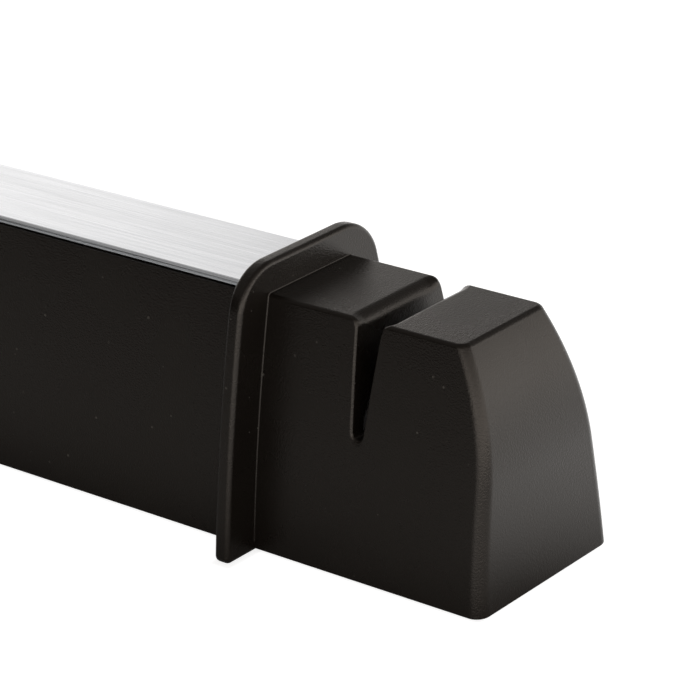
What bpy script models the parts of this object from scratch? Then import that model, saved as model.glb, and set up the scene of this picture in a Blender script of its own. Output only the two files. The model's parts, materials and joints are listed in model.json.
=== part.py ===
"""Pull-through kitchen sharpener with a long grip.

A black moulded housing has a guard plate between its grip and its head, and a slot cut
down across the head. Inside, two dished ceramic wheels turn on a steel axle in a cradle,
and the bevels of their rims make the sharpening groove under the slot.
Constants are in millimetres and meshes in metres, with +Z up and +X towards the head.
The origin is on the floor under the middle of the sharpener.
"""

import math

import bmesh
import bpy
from mathutils import Matrix, Vector

MM = 0.001

# Housing, with heights measured from its bottom rim
BODY_LENGTH = 210.0
BODY_WIDTH = 40.0
BODY_TOP_WIDTH = 24.2
BODY_HEIGHT = 48.45
SIDE_BULGE = 0.75
END_INSET = 8.1
END_DRAFT = 1.24
END_STRAIGHT = 22.7
CORNER_RADIUS_BOTTOM = 2.8
CORNER_RADIUS_TOP = 2.0
SQUARE_CORNER_RADIUS = 0.3
TOP_EDGE_RADIUS = 1.1
BOTTOM_EDGE_CHAMFER = 0.4
WALL = 2.4
RIM_HEIGHT = 0.8
LEVEL_HEIGHTS = (8.0, 15.0, END_STRAIGHT, 25.0, 28.5, 32.0, 35.0, 38.0, 40.5, 43.0, 45.0, 46.5)

# Guard, a flange right round the housing with sides that follow its taper, a little deeper than the rim
GUARD_DISTANCE = 52.6
GUARD_THICKNESS = 3.4
GUARD_WING = 7.6
GUARD_DROP = 0.6
GUARD_HEIGHT = 54.4
GUARD_FOOT_RADIUS = 1.3
GUARD_CORNER_RADIUS = 10.0
GUARD_CORNER_START = math.radians(13.0)
GUARD_EDGE_RADIUS = 1.0

# Slot, steep on the guard's side and leaning on the end's side
SLOT_DISTANCE = 29.7
SLOT_BOTTOM = 26.5
SLOT_BOTTOM_RADIUS = 1.18
SLOT_STEEP_SLOPE = 0.045
SLOT_LEAN_SLOPE = 0.108
SLOT_LIP_RADIUS = 2.4
SLOT_LIP_ARC_END = math.radians(108.0)
SLOT_LIP_RUN_OUT = 3.0
SLOT_WALL = 2.0

# Metal plate on top of the grip, a little higher than the head and inside the grip's edge
PLATE_THICKNESS = 1.0
PLATE_RISE = 0.7
PLATE_INSET = 0.7
PLATE_EDGE_RADIUS = 0.6
PLATE_SHOULDER = 1.0
TAB_LENGTH = 8.0
TAB_THICKNESS = 1.0
TAB_DEPTH = 4.4
TAB_OFFSET = 8.0
TAB_PLACES = (-75.0, 25.0)

# Underside: base plate, feet, screws and what they go into
POCKET_WALL = 1.6
LEDGE_HEIGHT = 2.9
BASE_RECESS = 0.5
FIT_GAP = 0.3
FOOT_RADIUS = 5.0
FOOT_RECESS = 1.2
FOOT_EDGE = 0.5
FOOT_PLACES = ((93.0, 12.0), (93.0, -12.0), (-92.0, 12.0), (-92.0, -12.0))
SCREW_HEAD_RADIUS = 2.8
SCREW_SHANK_RADIUS = 1.4
SCREW_LENGTH = 10.0
DRIVE_LENGTH = 3.0
DRIVE_WIDTH = 0.7
DRIVE_DEPTH = 0.9
BOSS_RADIUS = 3.5
BASE_SCREW_PLACES = (94.0, 59.0, -15.0, -78.0)
RIB_PLACES = (-48.0, 12.0)
RIB_THICKNESS = 1.6
RIB_BOTTOM = 20.0

# Wheels and what carries them, on an axle along X under the slot
AXLE_HEIGHT = 24.0
AXLE_RADIUS = 2.0
AXLE_HALF_LENGTH = 10.6
AXLE_END_CHAMFER = 0.4
WHEEL_RADIUS = 12.8
WHEEL_GROOVE_ROOT = 9.6
WHEEL_GROOVE_ANGLE = math.radians(17.0)
WHEEL_THICKNESS = 4.5
WHEEL_EDGE = 0.4
WHEEL_DISH_DEPTH = 0.8
WHEEL_DISH_INNER = 5.2
WHEEL_DISH_OUTER = 11.0
WHEEL_SPACE = 0.2
WINDOW_RADIUS = 13.6
WINDOW_HALF_LENGTH = 7.0
BUSH_RADIUS = 3.6
RUNNING_GAP = 0.15
WASHER_RADIUS = 4.6
WASHER_THICKNESS = 0.7
CHEEK_THICKNESS = 2.6
CHEEK_TOP_RADIUS = 4.6
CHEEK_FOOT_HALF_WIDTH = 9.0
CRADLE_FLOOR = 2.5
CRADLE_HALF_LENGTH = 12.2
CRADLE_HALF_WIDTH = 15.0
CRADLE_CORNER = 2.0
CRADLE_SCREW_OFFSET = 11.2
CRADLE_BOSS_HEIGHT = 9.0
CLIP_RADIUS = 3.8
CLIP_GROOVE_RADIUS = 1.5
CLIP_THICKNESS = 0.6
CLIP_MOUTH = math.radians(70.0)

# Fineness of round stretches
CORNER_STEPS = 5
EDGE_STEPS = 4
SHARP_ANGLE = math.radians(32.0)
SCREW_SIDES = 20
PIN_SIDES = 28
WHEEL_SIDES = 56
CUT_MARGIN = 1.0

# Places that follow from the dimensions above
HALF_LENGTH = BODY_LENGTH / 2
SLOT_X = HALF_LENGTH - SLOT_DISTANCE
GUARD_FRONT_X = HALF_LENGTH - GUARD_DISTANCE
GUARD_REAR_X = GUARD_FRONT_X - GUARD_THICKNESS
AXLE_PLACE = (SLOT_X, 0.0, RIM_HEIGHT + AXLE_HEIGHT)
LEDGE_Z = RIM_HEIGHT + LEDGE_HEIGHT
TOP_Z = RIM_HEIGHT + BODY_HEIGHT
BASE_BOTTOM_Z = RIM_HEIGHT + BASE_RECESS
BASE_TOP_Z = LEDGE_Z - FIT_GAP
SCREW_BOTTOM_Z = BASE_BOTTOM_Z + FIT_GAP
PLATE_TOP = BODY_HEIGHT + PLATE_RISE
PLATE_BOTTOM = PLATE_TOP - PLATE_THICKNESS
GRIP_TOP = PLATE_BOTTOM - FIT_GAP
PLATE_SEAT_X = GUARD_REAR_X - PLATE_SHOULDER
SCREW_HOLE_RADIUS = SCREW_SHANK_RADIUS + FIT_GAP
BUSH_BORE = AXLE_RADIUS + RUNNING_GAP
WHEEL_BORE = BUSH_RADIUS + FIT_GAP
WHEEL_OUTER = WHEEL_SPACE + WHEEL_THICKNESS
WASHER_FACE = WHEEL_OUTER + RUNNING_GAP
CHEEK_FACE = WASHER_FACE + WASHER_THICKNESS + RUNNING_GAP
CHEEK_OUTER = CHEEK_FACE + CHEEK_THICKNESS
CLIP_FACE = CHEEK_OUTER + RUNNING_GAP
END_ARC_RISE = BODY_HEIGHT - END_STRAIGHT
END_ARC_INSET = END_INSET - END_DRAFT
END_ARC_RADIUS = (END_ARC_RISE**2 + END_ARC_INSET**2) / (2 * END_ARC_INSET)
CRADLE_SCREW_PLACES = ((SLOT_X, CRADLE_SCREW_OFFSET), (SLOT_X, -CRADLE_SCREW_OFFSET))


def clear_scene():
    for obj in list(bpy.data.objects):
        bpy.data.objects.remove(obj)


def make_material(name, colour, roughness, metallic=0.0):
    material = bpy.data.materials.new(name)
    material.use_nodes = True
    shader = material.node_tree.nodes["Principled BSDF"]
    shader.inputs["Base Color"].default_value = (*colour, 1.0)
    shader.inputs["Roughness"].default_value = roughness
    shader.inputs["Metallic"].default_value = metallic
    return material


def finish_mesh(name, bm, material=None):
    """A smooth-shaded mesh in metres from a mesh in millimetres, which is used up."""
    bmesh.ops.recalc_face_normals(bm, faces=bm.faces)
    bmesh.ops.scale(bm, vec=Vector((MM, MM, MM)), verts=bm.verts)
    mesh = bpy.data.meshes.new(name)
    bm.to_mesh(mesh)
    bm.free()
    mesh.shade_smooth()
    mesh.set_sharp_from_angle(angle=SHARP_ANGLE)
    if material is not None:
        mesh.materials.append(material)
    return mesh


def add_object(name, mesh, place=(0.0, 0.0, 0.0), parent=None):
    obj = bpy.data.objects.new(name, mesh)
    obj.location = [MM * value for value in place]
    obj.parent = parent
    bpy.context.scene.collection.objects.link(obj)
    return obj


def add_tool(name, bm, place=(0.0, 0.0, 0.0)):
    """A shape that another object is cut by or joined with, and that isn't a piece itself."""
    tool = add_object(name, finish_mesh(name, bm), place)
    tool.hide_render = True
    tool.display_type = "WIRE"
    return tool


def combine(obj, operation, tools):
    for tool in tools:
        modifier = obj.modifiers.new(tool.name, "BOOLEAN")
        modifier.operation = operation
        modifier.object = tool
        modifier.solver = "EXACT"


def cut(obj, *tools):
    combine(obj, "DIFFERENCE", tools)


def join(obj, *tools):
    combine(obj, "UNION", tools)


def bake(obj):
    """The mesh of an object with its modifiers applied. The object is then removed."""
    graph = bpy.context.evaluated_depsgraph_get()
    mesh = bpy.data.meshes.new_from_object(obj.evaluated_get(graph))
    bpy.data.objects.remove(obj)
    return mesh


def arc(centre, radius, start, end, steps):
    """Points on a circle in a plane, from one angle to another."""
    angles = [start + (end - start) * i / steps for i in range(steps + 1)]
    return [(centre[0] + radius * math.cos(a), centre[1] + radius * math.sin(a)) for a in angles]


def rounded_rectangle(x_low, x_high, half_width, radius_low, radius_high):
    """A rectangle about the X axis, with one corner radius at each end."""
    quarter = math.pi / 2
    corners = (
        (x_high - radius_high, half_width - radius_high, radius_high),
        (x_low + radius_low, half_width - radius_low, radius_low),
        (x_low + radius_low, radius_low - half_width, radius_low),
        (x_high - radius_high, radius_high - half_width, radius_high),
    )
    points = []
    for turn, (x, y, radius) in enumerate(corners):
        points += arc((x, y), radius, turn * quarter, (turn + 1) * quarter, CORNER_STEPS)
    return points


def loft(levels):
    """A solid through level outlines, given as (height, outline) from the bottom up."""
    bm = bmesh.new()
    rings = []
    for height, outline in levels:
        rings.append([bm.verts.new((x, y, height)) for x, y in outline])
    for lower, upper in zip(rings, rings[1:]):
        for i in range(len(lower)):
            bm.faces.new((lower[i - 1], lower[i], upper[i], upper[i - 1]))
    bm.faces.new(rings[0])
    bm.faces.new(rings[-1])
    return bm


def extrude(outline, direction, start, end):
    """An outline pushed along X, Y or Z. Its points lie in the other two axes, in that order."""
    along = "XYZ".index(direction)
    bm = bmesh.new()
    corners = []
    for point in outline:
        place = list(point)
        place.insert(along, start)
        corners.append(bm.verts.new(place))
    face = bm.faces.new(corners)
    pushed = bmesh.ops.extrude_face_region(bm, geom=[face])["geom"]
    push = Vector((0.0, 0.0, 0.0))
    push[along] = end - start
    moved = [item for item in pushed if isinstance(item, bmesh.types.BMVert)]
    bmesh.ops.translate(bm, vec=push, verts=moved)
    return bm


def turn_profile(profile, axis, sides):
    """A closed profile of (along, radius) points turned about the X or the Z axis."""
    bm = bmesh.new()
    if axis == "X":
        verts = [bm.verts.new((along, radius, 0.0)) for along, radius in profile]
        direction = Vector((1.0, 0.0, 0.0))
    else:
        verts = [bm.verts.new((radius, 0.0, along)) for along, radius in profile]
        direction = Vector((0.0, 0.0, 1.0))
    edges = [bm.edges.new((verts[i - 1], verts[i])) for i in range(len(verts))]
    bmesh.ops.spin(
        bm,
        geom=verts + edges,
        axis=direction,
        cent=Vector((0.0, 0.0, 0.0)),
        angle=2 * math.pi,
        steps=sides,
        use_merge=True,
    )
    bmesh.ops.remove_doubles(bm, verts=bm.verts, dist=0.001)
    return bm


def cylinder(low, high, radius, axis="Z", sides=SCREW_SIDES):
    return turn_profile([(low, 0.0), (low, radius), (high, radius), (high, 0.0)], axis, sides)


def make_box(low, high):
    size = Vector(high) - Vector(low)
    middle = (Vector(high) + Vector(low)) / 2
    bm = bmesh.new()
    bmesh.ops.create_cube(bm, size=1.0, matrix=Matrix.Translation(middle) @ Matrix.Diagonal((*size, 1.0)))
    return bm


def gather(parts):
    """Several meshes in one, still as separate bodies. The parts are used up."""
    whole = bmesh.new()
    for part in parts:
        mesh = bpy.data.meshes.new("gathered")
        part.to_mesh(mesh)
        part.free()
        whole.from_mesh(mesh)
        bpy.data.meshes.remove(mesh)
    return whole


def repeat(make, places):
    """A shape at several places (x, y), gathered in one mesh."""
    copies = []
    for x, y in places:
        copy = make()
        bmesh.ops.translate(copy, vec=Vector((x, y, 0.0)), verts=copy.verts)
        copies.append(copy)
    return gather(copies)


def side_half_width(height):
    """Half the housing's width, which tapers upwards with a slight bulge."""
    share = height / BODY_HEIGHT
    taper = (BODY_WIDTH - BODY_TOP_WIDTH) / 2
    return BODY_WIDTH / 2 - taper * share + 4 * SIDE_BULGE * share * (1 - share)


def end_inset(height):
    """How far an end has come in: a drafted straight, then an arc up to the top."""
    above = max(0.0, height - END_STRAIGHT)
    curve = END_ARC_RADIUS - math.sqrt(END_ARC_RADIUS**2 - above**2)
    return END_DRAFT * height / BODY_HEIGHT + curve


def corner_radius(height):
    share = height / BODY_HEIGHT
    return CORNER_RADIUS_BOTTOM + (CORNER_RADIUS_TOP - CORNER_RADIUS_BOTTOM) * share


def body_outline(height, inset=0.0, x_low=None, x_high=None):
    """The housing's outline at a height, brought in all round. A stated end is cut off square."""
    radius = max(corner_radius(height) - inset, SQUARE_CORNER_RADIUS)
    reach = HALF_LENGTH - end_inset(height) - inset
    return rounded_rectangle(
        -reach if x_low is None else x_low,
        reach if x_high is None else x_high,
        side_half_width(height) - inset,
        radius if x_low is None else SQUARE_CORNER_RADIUS,
        radius if x_high is None else SQUARE_CORNER_RADIUS,
    )


def side_levels(low, high, inset=0.0, **ends):
    """Levels of the curved sides between two heights, close together in the end arc."""
    heights = [low] + [h for h in LEVEL_HEIGHTS if low + 0.5 < h < high - 0.5] + [high]
    return [(RIM_HEIGHT + h, body_outline(h, inset, **ends)) for h in heights]


def top_edge_levels(top, radius, inset=0.0, **ends):
    """Levels of a rounded top edge up to the flat top, the first of them straight below the rounding."""
    levels = []
    for i in range(EDGE_STEPS + 1):
        angle = math.pi / 2 * i / EDGE_STEPS
        height = top - radius * (1 - math.sin(angle))
        rounding = radius * (1 - math.cos(angle))
        levels.append((RIM_HEIGHT + height, body_outline(height, inset + rounding, **ends)))
    return levels


def slot_reach(height, slope):
    """How far a wall of the slot stands from the slot's middle."""
    return SLOT_BOTTOM_RADIUS + slope * (height - SLOT_BOTTOM - SLOT_BOTTOM_RADIUS)


def slot_side(slope):
    """One side of the slot from its round bottom up past its rounded lip, as (distance, height)."""
    lean = math.atan(slope)
    lip = slot_reach(BODY_HEIGHT, slope)
    back = SLOT_LIP_RADIUS * (1 - math.sin(lean)) / math.cos(lean)
    bottom_centre = (0.0, SLOT_BOTTOM + SLOT_BOTTOM_RADIUS)
    lip_centre = (lip + back, BODY_HEIGHT - SLOT_LIP_RADIUS)
    points = arc(bottom_centre, SLOT_BOTTOM_RADIUS, -math.pi / 2, -lean, CORNER_STEPS)
    points += arc(lip_centre, SLOT_LIP_RADIUS, math.pi - lean, SLOT_LIP_ARC_END, EDGE_STEPS)
    run_out = points[-1][0] + SLOT_LIP_RUN_OUT
    rise = SLOT_LIP_RUN_OUT * math.tan(SLOT_LIP_ARC_END - math.pi / 2)
    points.append((run_out, points[-1][1] + rise))
    points.append((run_out, GUARD_HEIGHT + CUT_MARGIN))
    return points


def make_slot_tool():
    right = [(SLOT_X + x, RIM_HEIGHT + z) for x, z in slot_side(SLOT_LEAN_SLOPE)]
    left = [(SLOT_X - x, RIM_HEIGHT + z) for x, z in slot_side(SLOT_STEEP_SLOPE)[1:]]
    return add_tool("cut_slot", extrude(right + left[::-1], "Y", -BODY_WIDTH, BODY_WIDTH))


def make_slot_walls():
    """The slot's walls and floor, which are left standing in the head's cavity."""
    low, high = SLOT_BOTTOM - SLOT_WALL, BODY_HEIGHT + CUT_MARGIN
    outline = []
    for side, slope, heights in ((-1, SLOT_STEEP_SLOPE, (high, low)), (1, SLOT_LEAN_SLOPE, (low, high))):
        for height in heights:
            x = SLOT_X + side * (slot_reach(height, slope) + SLOT_WALL)
            outline.append((x, RIM_HEIGHT + height))
    return add_tool("keep_slot_walls", extrude(outline, "Y", -BODY_WIDTH, BODY_WIDTH))


def make_bosses():
    """Screw pillars, which are left standing in the cavities."""
    places = [(x, 0.0) for x in BASE_SCREW_PLACES]
    return add_tool("keep_bosses", repeat(lambda: cylinder(CUT_MARGIN, GUARD_HEIGHT, BOSS_RADIUS), places))


def make_ribs():
    half = RIB_THICKNESS / 2
    low = (-half, -BODY_WIDTH, RIM_HEIGHT + RIB_BOTTOM)
    high = (half, BODY_WIDTH, GUARD_HEIGHT)
    return add_tool("keep_ribs", repeat(lambda: make_box(low, high), [(x, 0.0) for x in RIB_PLACES]))


def make_cavity(name, top, **ends):
    """The hollow on one side of the guard, a wall's thickness inside the housing."""
    return add_tool(name, loft(side_levels(LEDGE_HEIGHT - CUT_MARGIN, top, WALL, **ends)))


def make_guard():
    corner_height = GUARD_HEIGHT - GUARD_CORNER_RADIUS
    side_top = corner_height + GUARD_CORNER_RADIUS * math.sin(GUARD_CORNER_START)
    reach = side_half_width(side_top) + GUARD_WING
    centre = (reach - GUARD_CORNER_RADIUS * math.cos(GUARD_CORNER_START), RIM_HEIGHT + corner_height)
    foot_height = GUARD_FOOT_RADIUS - GUARD_DROP
    foot_reach = side_half_width(foot_height) + GUARD_WING
    foot_centre = (foot_reach - GUARD_FOOT_RADIUS, RIM_HEIGHT + foot_height)
    heights = [h for h in LEVEL_HEIGHTS if h < side_top - 1.0]
    side = arc(foot_centre, GUARD_FOOT_RADIUS, -math.pi / 2, 0.0, CORNER_STEPS)
    side += [(side_half_width(h) + GUARD_WING, RIM_HEIGHT + h) for h in heights]
    side += arc(centre, GUARD_CORNER_RADIUS, GUARD_CORNER_START, math.pi / 2, 2 * CORNER_STEPS)
    bm = extrude(side + [(-y, z) for y, z in reversed(side)], "X", GUARD_REAR_X, GUARD_FRONT_X)
    faces = [face for face in bm.faces if abs(face.normal.x) > 0.5]
    rims = {edge for face in faces for edge in face.edges}
    bmesh.ops.bevel(
        bm, geom=list(rims), offset=GUARD_EDGE_RADIUS, segments=3, profile=0.5, affect="EDGES"
    )
    return add_tool("add_guard", bm)


def make_tabs(clearance, bottom):
    """The top plate's tabs, or with a clearance the slots that they go through."""
    half_length = TAB_LENGTH / 2 + clearance
    half_thickness = TAB_THICKNESS / 2 + clearance
    low = (-half_length, -half_thickness, RIM_HEIGHT + bottom)
    high = (half_length, half_thickness, RIM_HEIGHT + PLATE_BOTTOM + PLATE_THICKNESS / 2)
    places = [(x, side * TAB_OFFSET) for x in TAB_PLACES for side in (1, -1)]
    return repeat(lambda: make_box(low, high), places)


def make_body_shell(material):
    """The one-piece moulding: grip, guard and head, hollow and open underneath."""
    levels = [(RIM_HEIGHT, body_outline(0.0, BOTTOM_EDGE_CHAMFER))]
    levels += side_levels(BOTTOM_EDGE_CHAMFER, BODY_HEIGHT - TOP_EDGE_RADIUS)[:-1]
    levels += top_edge_levels(BODY_HEIGHT, TOP_EDGE_RADIUS)
    shell = add_object("body_shell", finish_mesh("body_shell", loft(levels), material))

    bosses = make_bosses()
    head_cavity = make_cavity("cut_head_cavity", BODY_HEIGHT - WALL, x_low=GUARD_FRONT_X)
    cut(head_cavity, make_slot_walls(), bosses)
    grip_cavity = make_cavity("cut_grip_cavity", GRIP_TOP - WALL, x_high=GUARD_REAR_X)
    cut(grip_cavity, make_ribs(), bosses)

    pocket = [(z, body_outline(0.0, POCKET_WALL)) for z in (-CUT_MARGIN, LEDGE_Z)]
    window = cylinder(-WINDOW_HALF_LENGTH, WINDOW_HALF_LENGTH, WINDOW_RADIUS, "X", WHEEL_SIDES)
    seat_low = (-BODY_LENGTH, -BODY_WIDTH, RIM_HEIGHT + GRIP_TOP)
    seat_high = (PLATE_SEAT_X, BODY_WIDTH, TOP_Z + GUARD_HEIGHT)
    pilot_top = SCREW_BOTTOM_Z + SCREW_LENGTH + CUT_MARGIN
    screw_places = [(x, 0.0) for x in BASE_SCREW_PLACES]
    pilots = repeat(lambda: cylinder(0.0, pilot_top, SCREW_HOLE_RADIUS), screw_places)
    tab_slots = make_tabs(FIT_GAP, GRIP_TOP - WALL - CUT_MARGIN)

    join(shell, make_guard())
    cut(
        shell,
        add_tool("cut_base_pocket", loft(pocket)),
        head_cavity,
        grip_cavity,
        make_slot_tool(),
        add_tool("cut_wheel_window", window, AXLE_PLACE),
        add_tool("cut_plate_seat", make_box(seat_low, seat_high)),
        add_tool("cut_pilots", pilots),
        add_tool("cut_tab_slots", tab_slots),
    )


def make_handle_top_plate(material):
    """The metal plate over the top of the grip, held by four tabs."""
    ends = {"x_high": PLATE_SEAT_X - FIT_GAP}
    levels = [(RIM_HEIGHT + PLATE_BOTTOM, body_outline(PLATE_BOTTOM, PLATE_INSET, **ends))]
    levels += top_edge_levels(PLATE_TOP, PLATE_EDGE_RADIUS, PLATE_INSET, **ends)
    plate = add_object("handle_top_plate", finish_mesh("handle_top_plate", loft(levels), material))
    join(plate, add_tool("add_tabs", make_tabs(0.0, GRIP_TOP - TAB_DEPTH)))


def make_base_plate(material):
    outline = body_outline(0.0, POCKET_WALL + FIT_GAP)
    mesh = finish_mesh("base_plate", loft([(BASE_BOTTOM_Z, outline), (BASE_TOP_Z, outline)]), material)
    plate = add_object("base_plate", mesh)
    recess_radius = FOOT_RADIUS + FIT_GAP
    recess_top = BASE_BOTTOM_Z + FOOT_RECESS
    recesses = repeat(lambda: cylinder(0.0, recess_top, recess_radius, sides=PIN_SIDES), FOOT_PLACES)
    head = SCREW_HEAD_RADIUS + FIT_GAP
    hole = [
        (0.0, 0.0),
        (0.0, head),
        (SCREW_BOTTOM_Z, head),
        (SCREW_BOTTOM_Z + head - SCREW_HOLE_RADIUS, SCREW_HOLE_RADIUS),
        (BASE_TOP_Z + CUT_MARGIN, SCREW_HOLE_RADIUS),
        (BASE_TOP_Z + CUT_MARGIN, 0.0),
    ]
    places = [(x, 0.0) for x in BASE_SCREW_PLACES] + list(CRADLE_SCREW_PLACES)
    holes = repeat(lambda: turn_profile(hole, "Z", SCREW_SIDES), places)
    cut(plate, add_tool("cut_foot_recesses", recesses), add_tool("cut_screw_holes", holes))


def make_feet(material):
    top = BASE_BOTTOM_Z + FOOT_RECESS - FIT_GAP
    profile = [
        (0.0, 0.0),
        (0.0, FOOT_RADIUS - FOOT_EDGE),
        (FOOT_EDGE, FOOT_RADIUS),
        (top, FOOT_RADIUS),
        (top, 0.0),
    ]
    mesh = finish_mesh("rubber_foot", turn_profile(profile, "Z", PIN_SIDES), material)
    for number, (x, y) in enumerate(FOOT_PLACES, start=1):
        add_object(f"rubber_foot_{number}", mesh, (x, y, 0.0))


def make_screw_mesh(material):
    """A countersunk screw standing on its head, with a cross recess below."""
    neck = SCREW_HEAD_RADIUS - SCREW_SHANK_RADIUS
    profile = [
        (0.0, 0.0),
        (0.0, SCREW_HEAD_RADIUS),
        (neck, SCREW_SHANK_RADIUS),
        (SCREW_LENGTH - SCREW_SHANK_RADIUS, SCREW_SHANK_RADIUS),
        (SCREW_LENGTH, 0.0),
    ]
    screw = add_object("screw", finish_mesh("screw", turn_profile(profile, "Z", SCREW_SIDES), material))
    half_length, half_width = DRIVE_LENGTH / 2, DRIVE_WIDTH / 2
    for name, x, y in (("cut_drive_x", half_length, half_width), ("cut_drive_y", half_width, half_length)):
        cut(screw, add_tool(name, make_box((-x, -y, -CUT_MARGIN), (x, y, DRIVE_DEPTH))))
    return bake(screw)


def make_screws(material):
    mesh = make_screw_mesh(material)
    for number, x in enumerate(BASE_SCREW_PLACES, start=1):
        add_object(f"base_screw_{number}", mesh, (x, 0.0, SCREW_BOTTOM_Z))
    for number, (x, y) in enumerate(CRADLE_SCREW_PLACES, start=1):
        add_object(f"cradle_screw_{number}", mesh, (x, y, SCREW_BOTTOM_Z))


def make_cheek(name, side):
    """One upright of the cradle, wide at its foot and round over the axle."""
    foot = LEDGE_Z + CRADLE_FLOOR / 2
    axle = (0.0, AXLE_PLACE[2])
    outline = [(CHEEK_FOOT_HALF_WIDTH, foot)]
    outline += arc(axle, CHEEK_TOP_RADIUS, 0.0, math.pi, 3 * CORNER_STEPS)
    outline.append((-CHEEK_FOOT_HALF_WIDTH, foot))
    return add_tool(name, extrude(outline, "X", SLOT_X + side * CHEEK_FACE, SLOT_X + side * CHEEK_OUTER))


def make_wheel_cradle(material):
    """The bracket that holds the axle: a floor, two cheeks and two screw pillars."""
    outline = rounded_rectangle(
        SLOT_X - CRADLE_HALF_LENGTH,
        SLOT_X + CRADLE_HALF_LENGTH,
        CRADLE_HALF_WIDTH,
        CRADLE_CORNER,
        CRADLE_CORNER,
    )
    floor_top = LEDGE_Z + CRADLE_FLOOR
    mesh = finish_mesh("wheel_cradle", loft([(LEDGE_Z, outline), (floor_top, outline)]), material)
    cradle = add_object("wheel_cradle", mesh)
    pillar_top = LEDGE_Z + CRADLE_BOSS_HEIGHT
    pillars = repeat(lambda: cylinder(floor_top - CUT_MARGIN, pillar_top, BOSS_RADIUS), CRADLE_SCREW_PLACES)
    pilots = repeat(lambda: cylinder(0.0, GUARD_HEIGHT, SCREW_HOLE_RADIUS), CRADLE_SCREW_PLACES)
    reach = CHEEK_OUTER + CUT_MARGIN
    axle_hole = cylinder(-reach, reach, BUSH_BORE, "X", PIN_SIDES)
    join(cradle, make_cheek("add_left_cheek", -1), make_cheek("add_right_cheek", 1))
    join(cradle, add_tool("add_pillars", pillars))
    cut(cradle, add_tool("cut_cradle_pilots", pilots), add_tool("cut_axle_hole", axle_hole, AXLE_PLACE))


def make_axle_centre():
    """The point on the wheels' common axis that the axle and all on it are placed by."""
    centre = add_object("axle_centre", None, AXLE_PLACE)
    centre.empty_display_size = WHEEL_RADIUS * MM
    return centre


def add_on_axle(name, profile, sides, material, centre):
    add_object(name, finish_mesh(name, turn_profile(profile, "X", sides), material), parent=centre)


def make_axle(material, centre):
    """A steel pin with a groove for a clip near each end."""
    half = [
        (CLIP_FACE - RUNNING_GAP, AXLE_RADIUS),
        (CLIP_FACE - RUNNING_GAP, CLIP_GROOVE_RADIUS),
        (CLIP_FACE + CLIP_THICKNESS + RUNNING_GAP, CLIP_GROOVE_RADIUS),
        (CLIP_FACE + CLIP_THICKNESS + RUNNING_GAP, AXLE_RADIUS),
        (AXLE_HALF_LENGTH - AXLE_END_CHAMFER, AXLE_RADIUS),
        (AXLE_HALF_LENGTH, AXLE_RADIUS - AXLE_END_CHAMFER),
        (AXLE_HALF_LENGTH, 0.0),
    ]
    profile = [(-x, radius) for x, radius in reversed(half)] + half
    add_on_axle("wheel_axle", profile, PIN_SIDES, material, centre)


def ring_profile(side, face, thickness, bore, radius):
    near, far = side * face, side * (face + thickness)
    return [(near, bore), (near, radius), (far, radius), (far, bore)]


def wheel_profile(side):
    """A dished wheel, whose rim is bevelled on the face that looks at the other wheel."""
    bevel = (WHEEL_RADIUS - WHEEL_GROOVE_ROOT) * math.tan(WHEEL_GROOVE_ANGLE)
    dish = WHEEL_OUTER - WHEEL_DISH_DEPTH
    profile = [
        (WHEEL_SPACE, WHEEL_BORE),
        (WHEEL_SPACE, WHEEL_GROOVE_ROOT),
        (WHEEL_SPACE + bevel, WHEEL_RADIUS),
        (WHEEL_OUTER - WHEEL_EDGE, WHEEL_RADIUS),
        (WHEEL_OUTER, WHEEL_RADIUS - WHEEL_EDGE),
        (WHEEL_OUTER, WHEEL_DISH_OUTER),
        (dish, WHEEL_DISH_OUTER - WHEEL_DISH_DEPTH),
        (dish, WHEEL_DISH_INNER + WHEEL_DISH_DEPTH),
        (WHEEL_OUTER, WHEEL_DISH_INNER),
        (WHEEL_OUTER, WHEEL_BORE),
    ]
    return [(side * x, radius) for x, radius in profile]


def make_clip(name, side, material, centre):
    """A flat spring clip in the axle's groove, with its mouth below."""
    start = CLIP_MOUTH / 2 - math.pi / 2
    end = start + 2 * math.pi - CLIP_MOUTH
    outline = arc((0.0, 0.0), CLIP_RADIUS, start, end, PIN_SIDES)
    outline += arc((0.0, 0.0), CLIP_GROOVE_RADIUS + RUNNING_GAP, end, start, PIN_SIDES)
    bm = extrude(outline, "X", side * CLIP_FACE, side * (CLIP_FACE + CLIP_THICKNESS))
    add_object(name, finish_mesh(name, bm, material), parent=centre)


def make_wheel_set(label, side, ceramic, nylon, steel, centre):
    """One wheel with its bush, and the washer and clip on the same side of the slot."""
    bush = ring_profile(side, WHEEL_SPACE, WHEEL_THICKNESS, BUSH_BORE, BUSH_RADIUS)
    washer = ring_profile(side, WASHER_FACE, WASHER_THICKNESS, BUSH_BORE, WASHER_RADIUS)
    add_on_axle(f"{label}_wheel", wheel_profile(side), WHEEL_SIDES, ceramic, centre)
    add_on_axle(f"{label}_wheel_bush", bush, PIN_SIDES, nylon, centre)
    add_on_axle(f"{label}_thrust_washer", washer, PIN_SIDES, steel, centre)
    make_clip(f"{label}_axle_clip", side, steel, centre)


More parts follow.
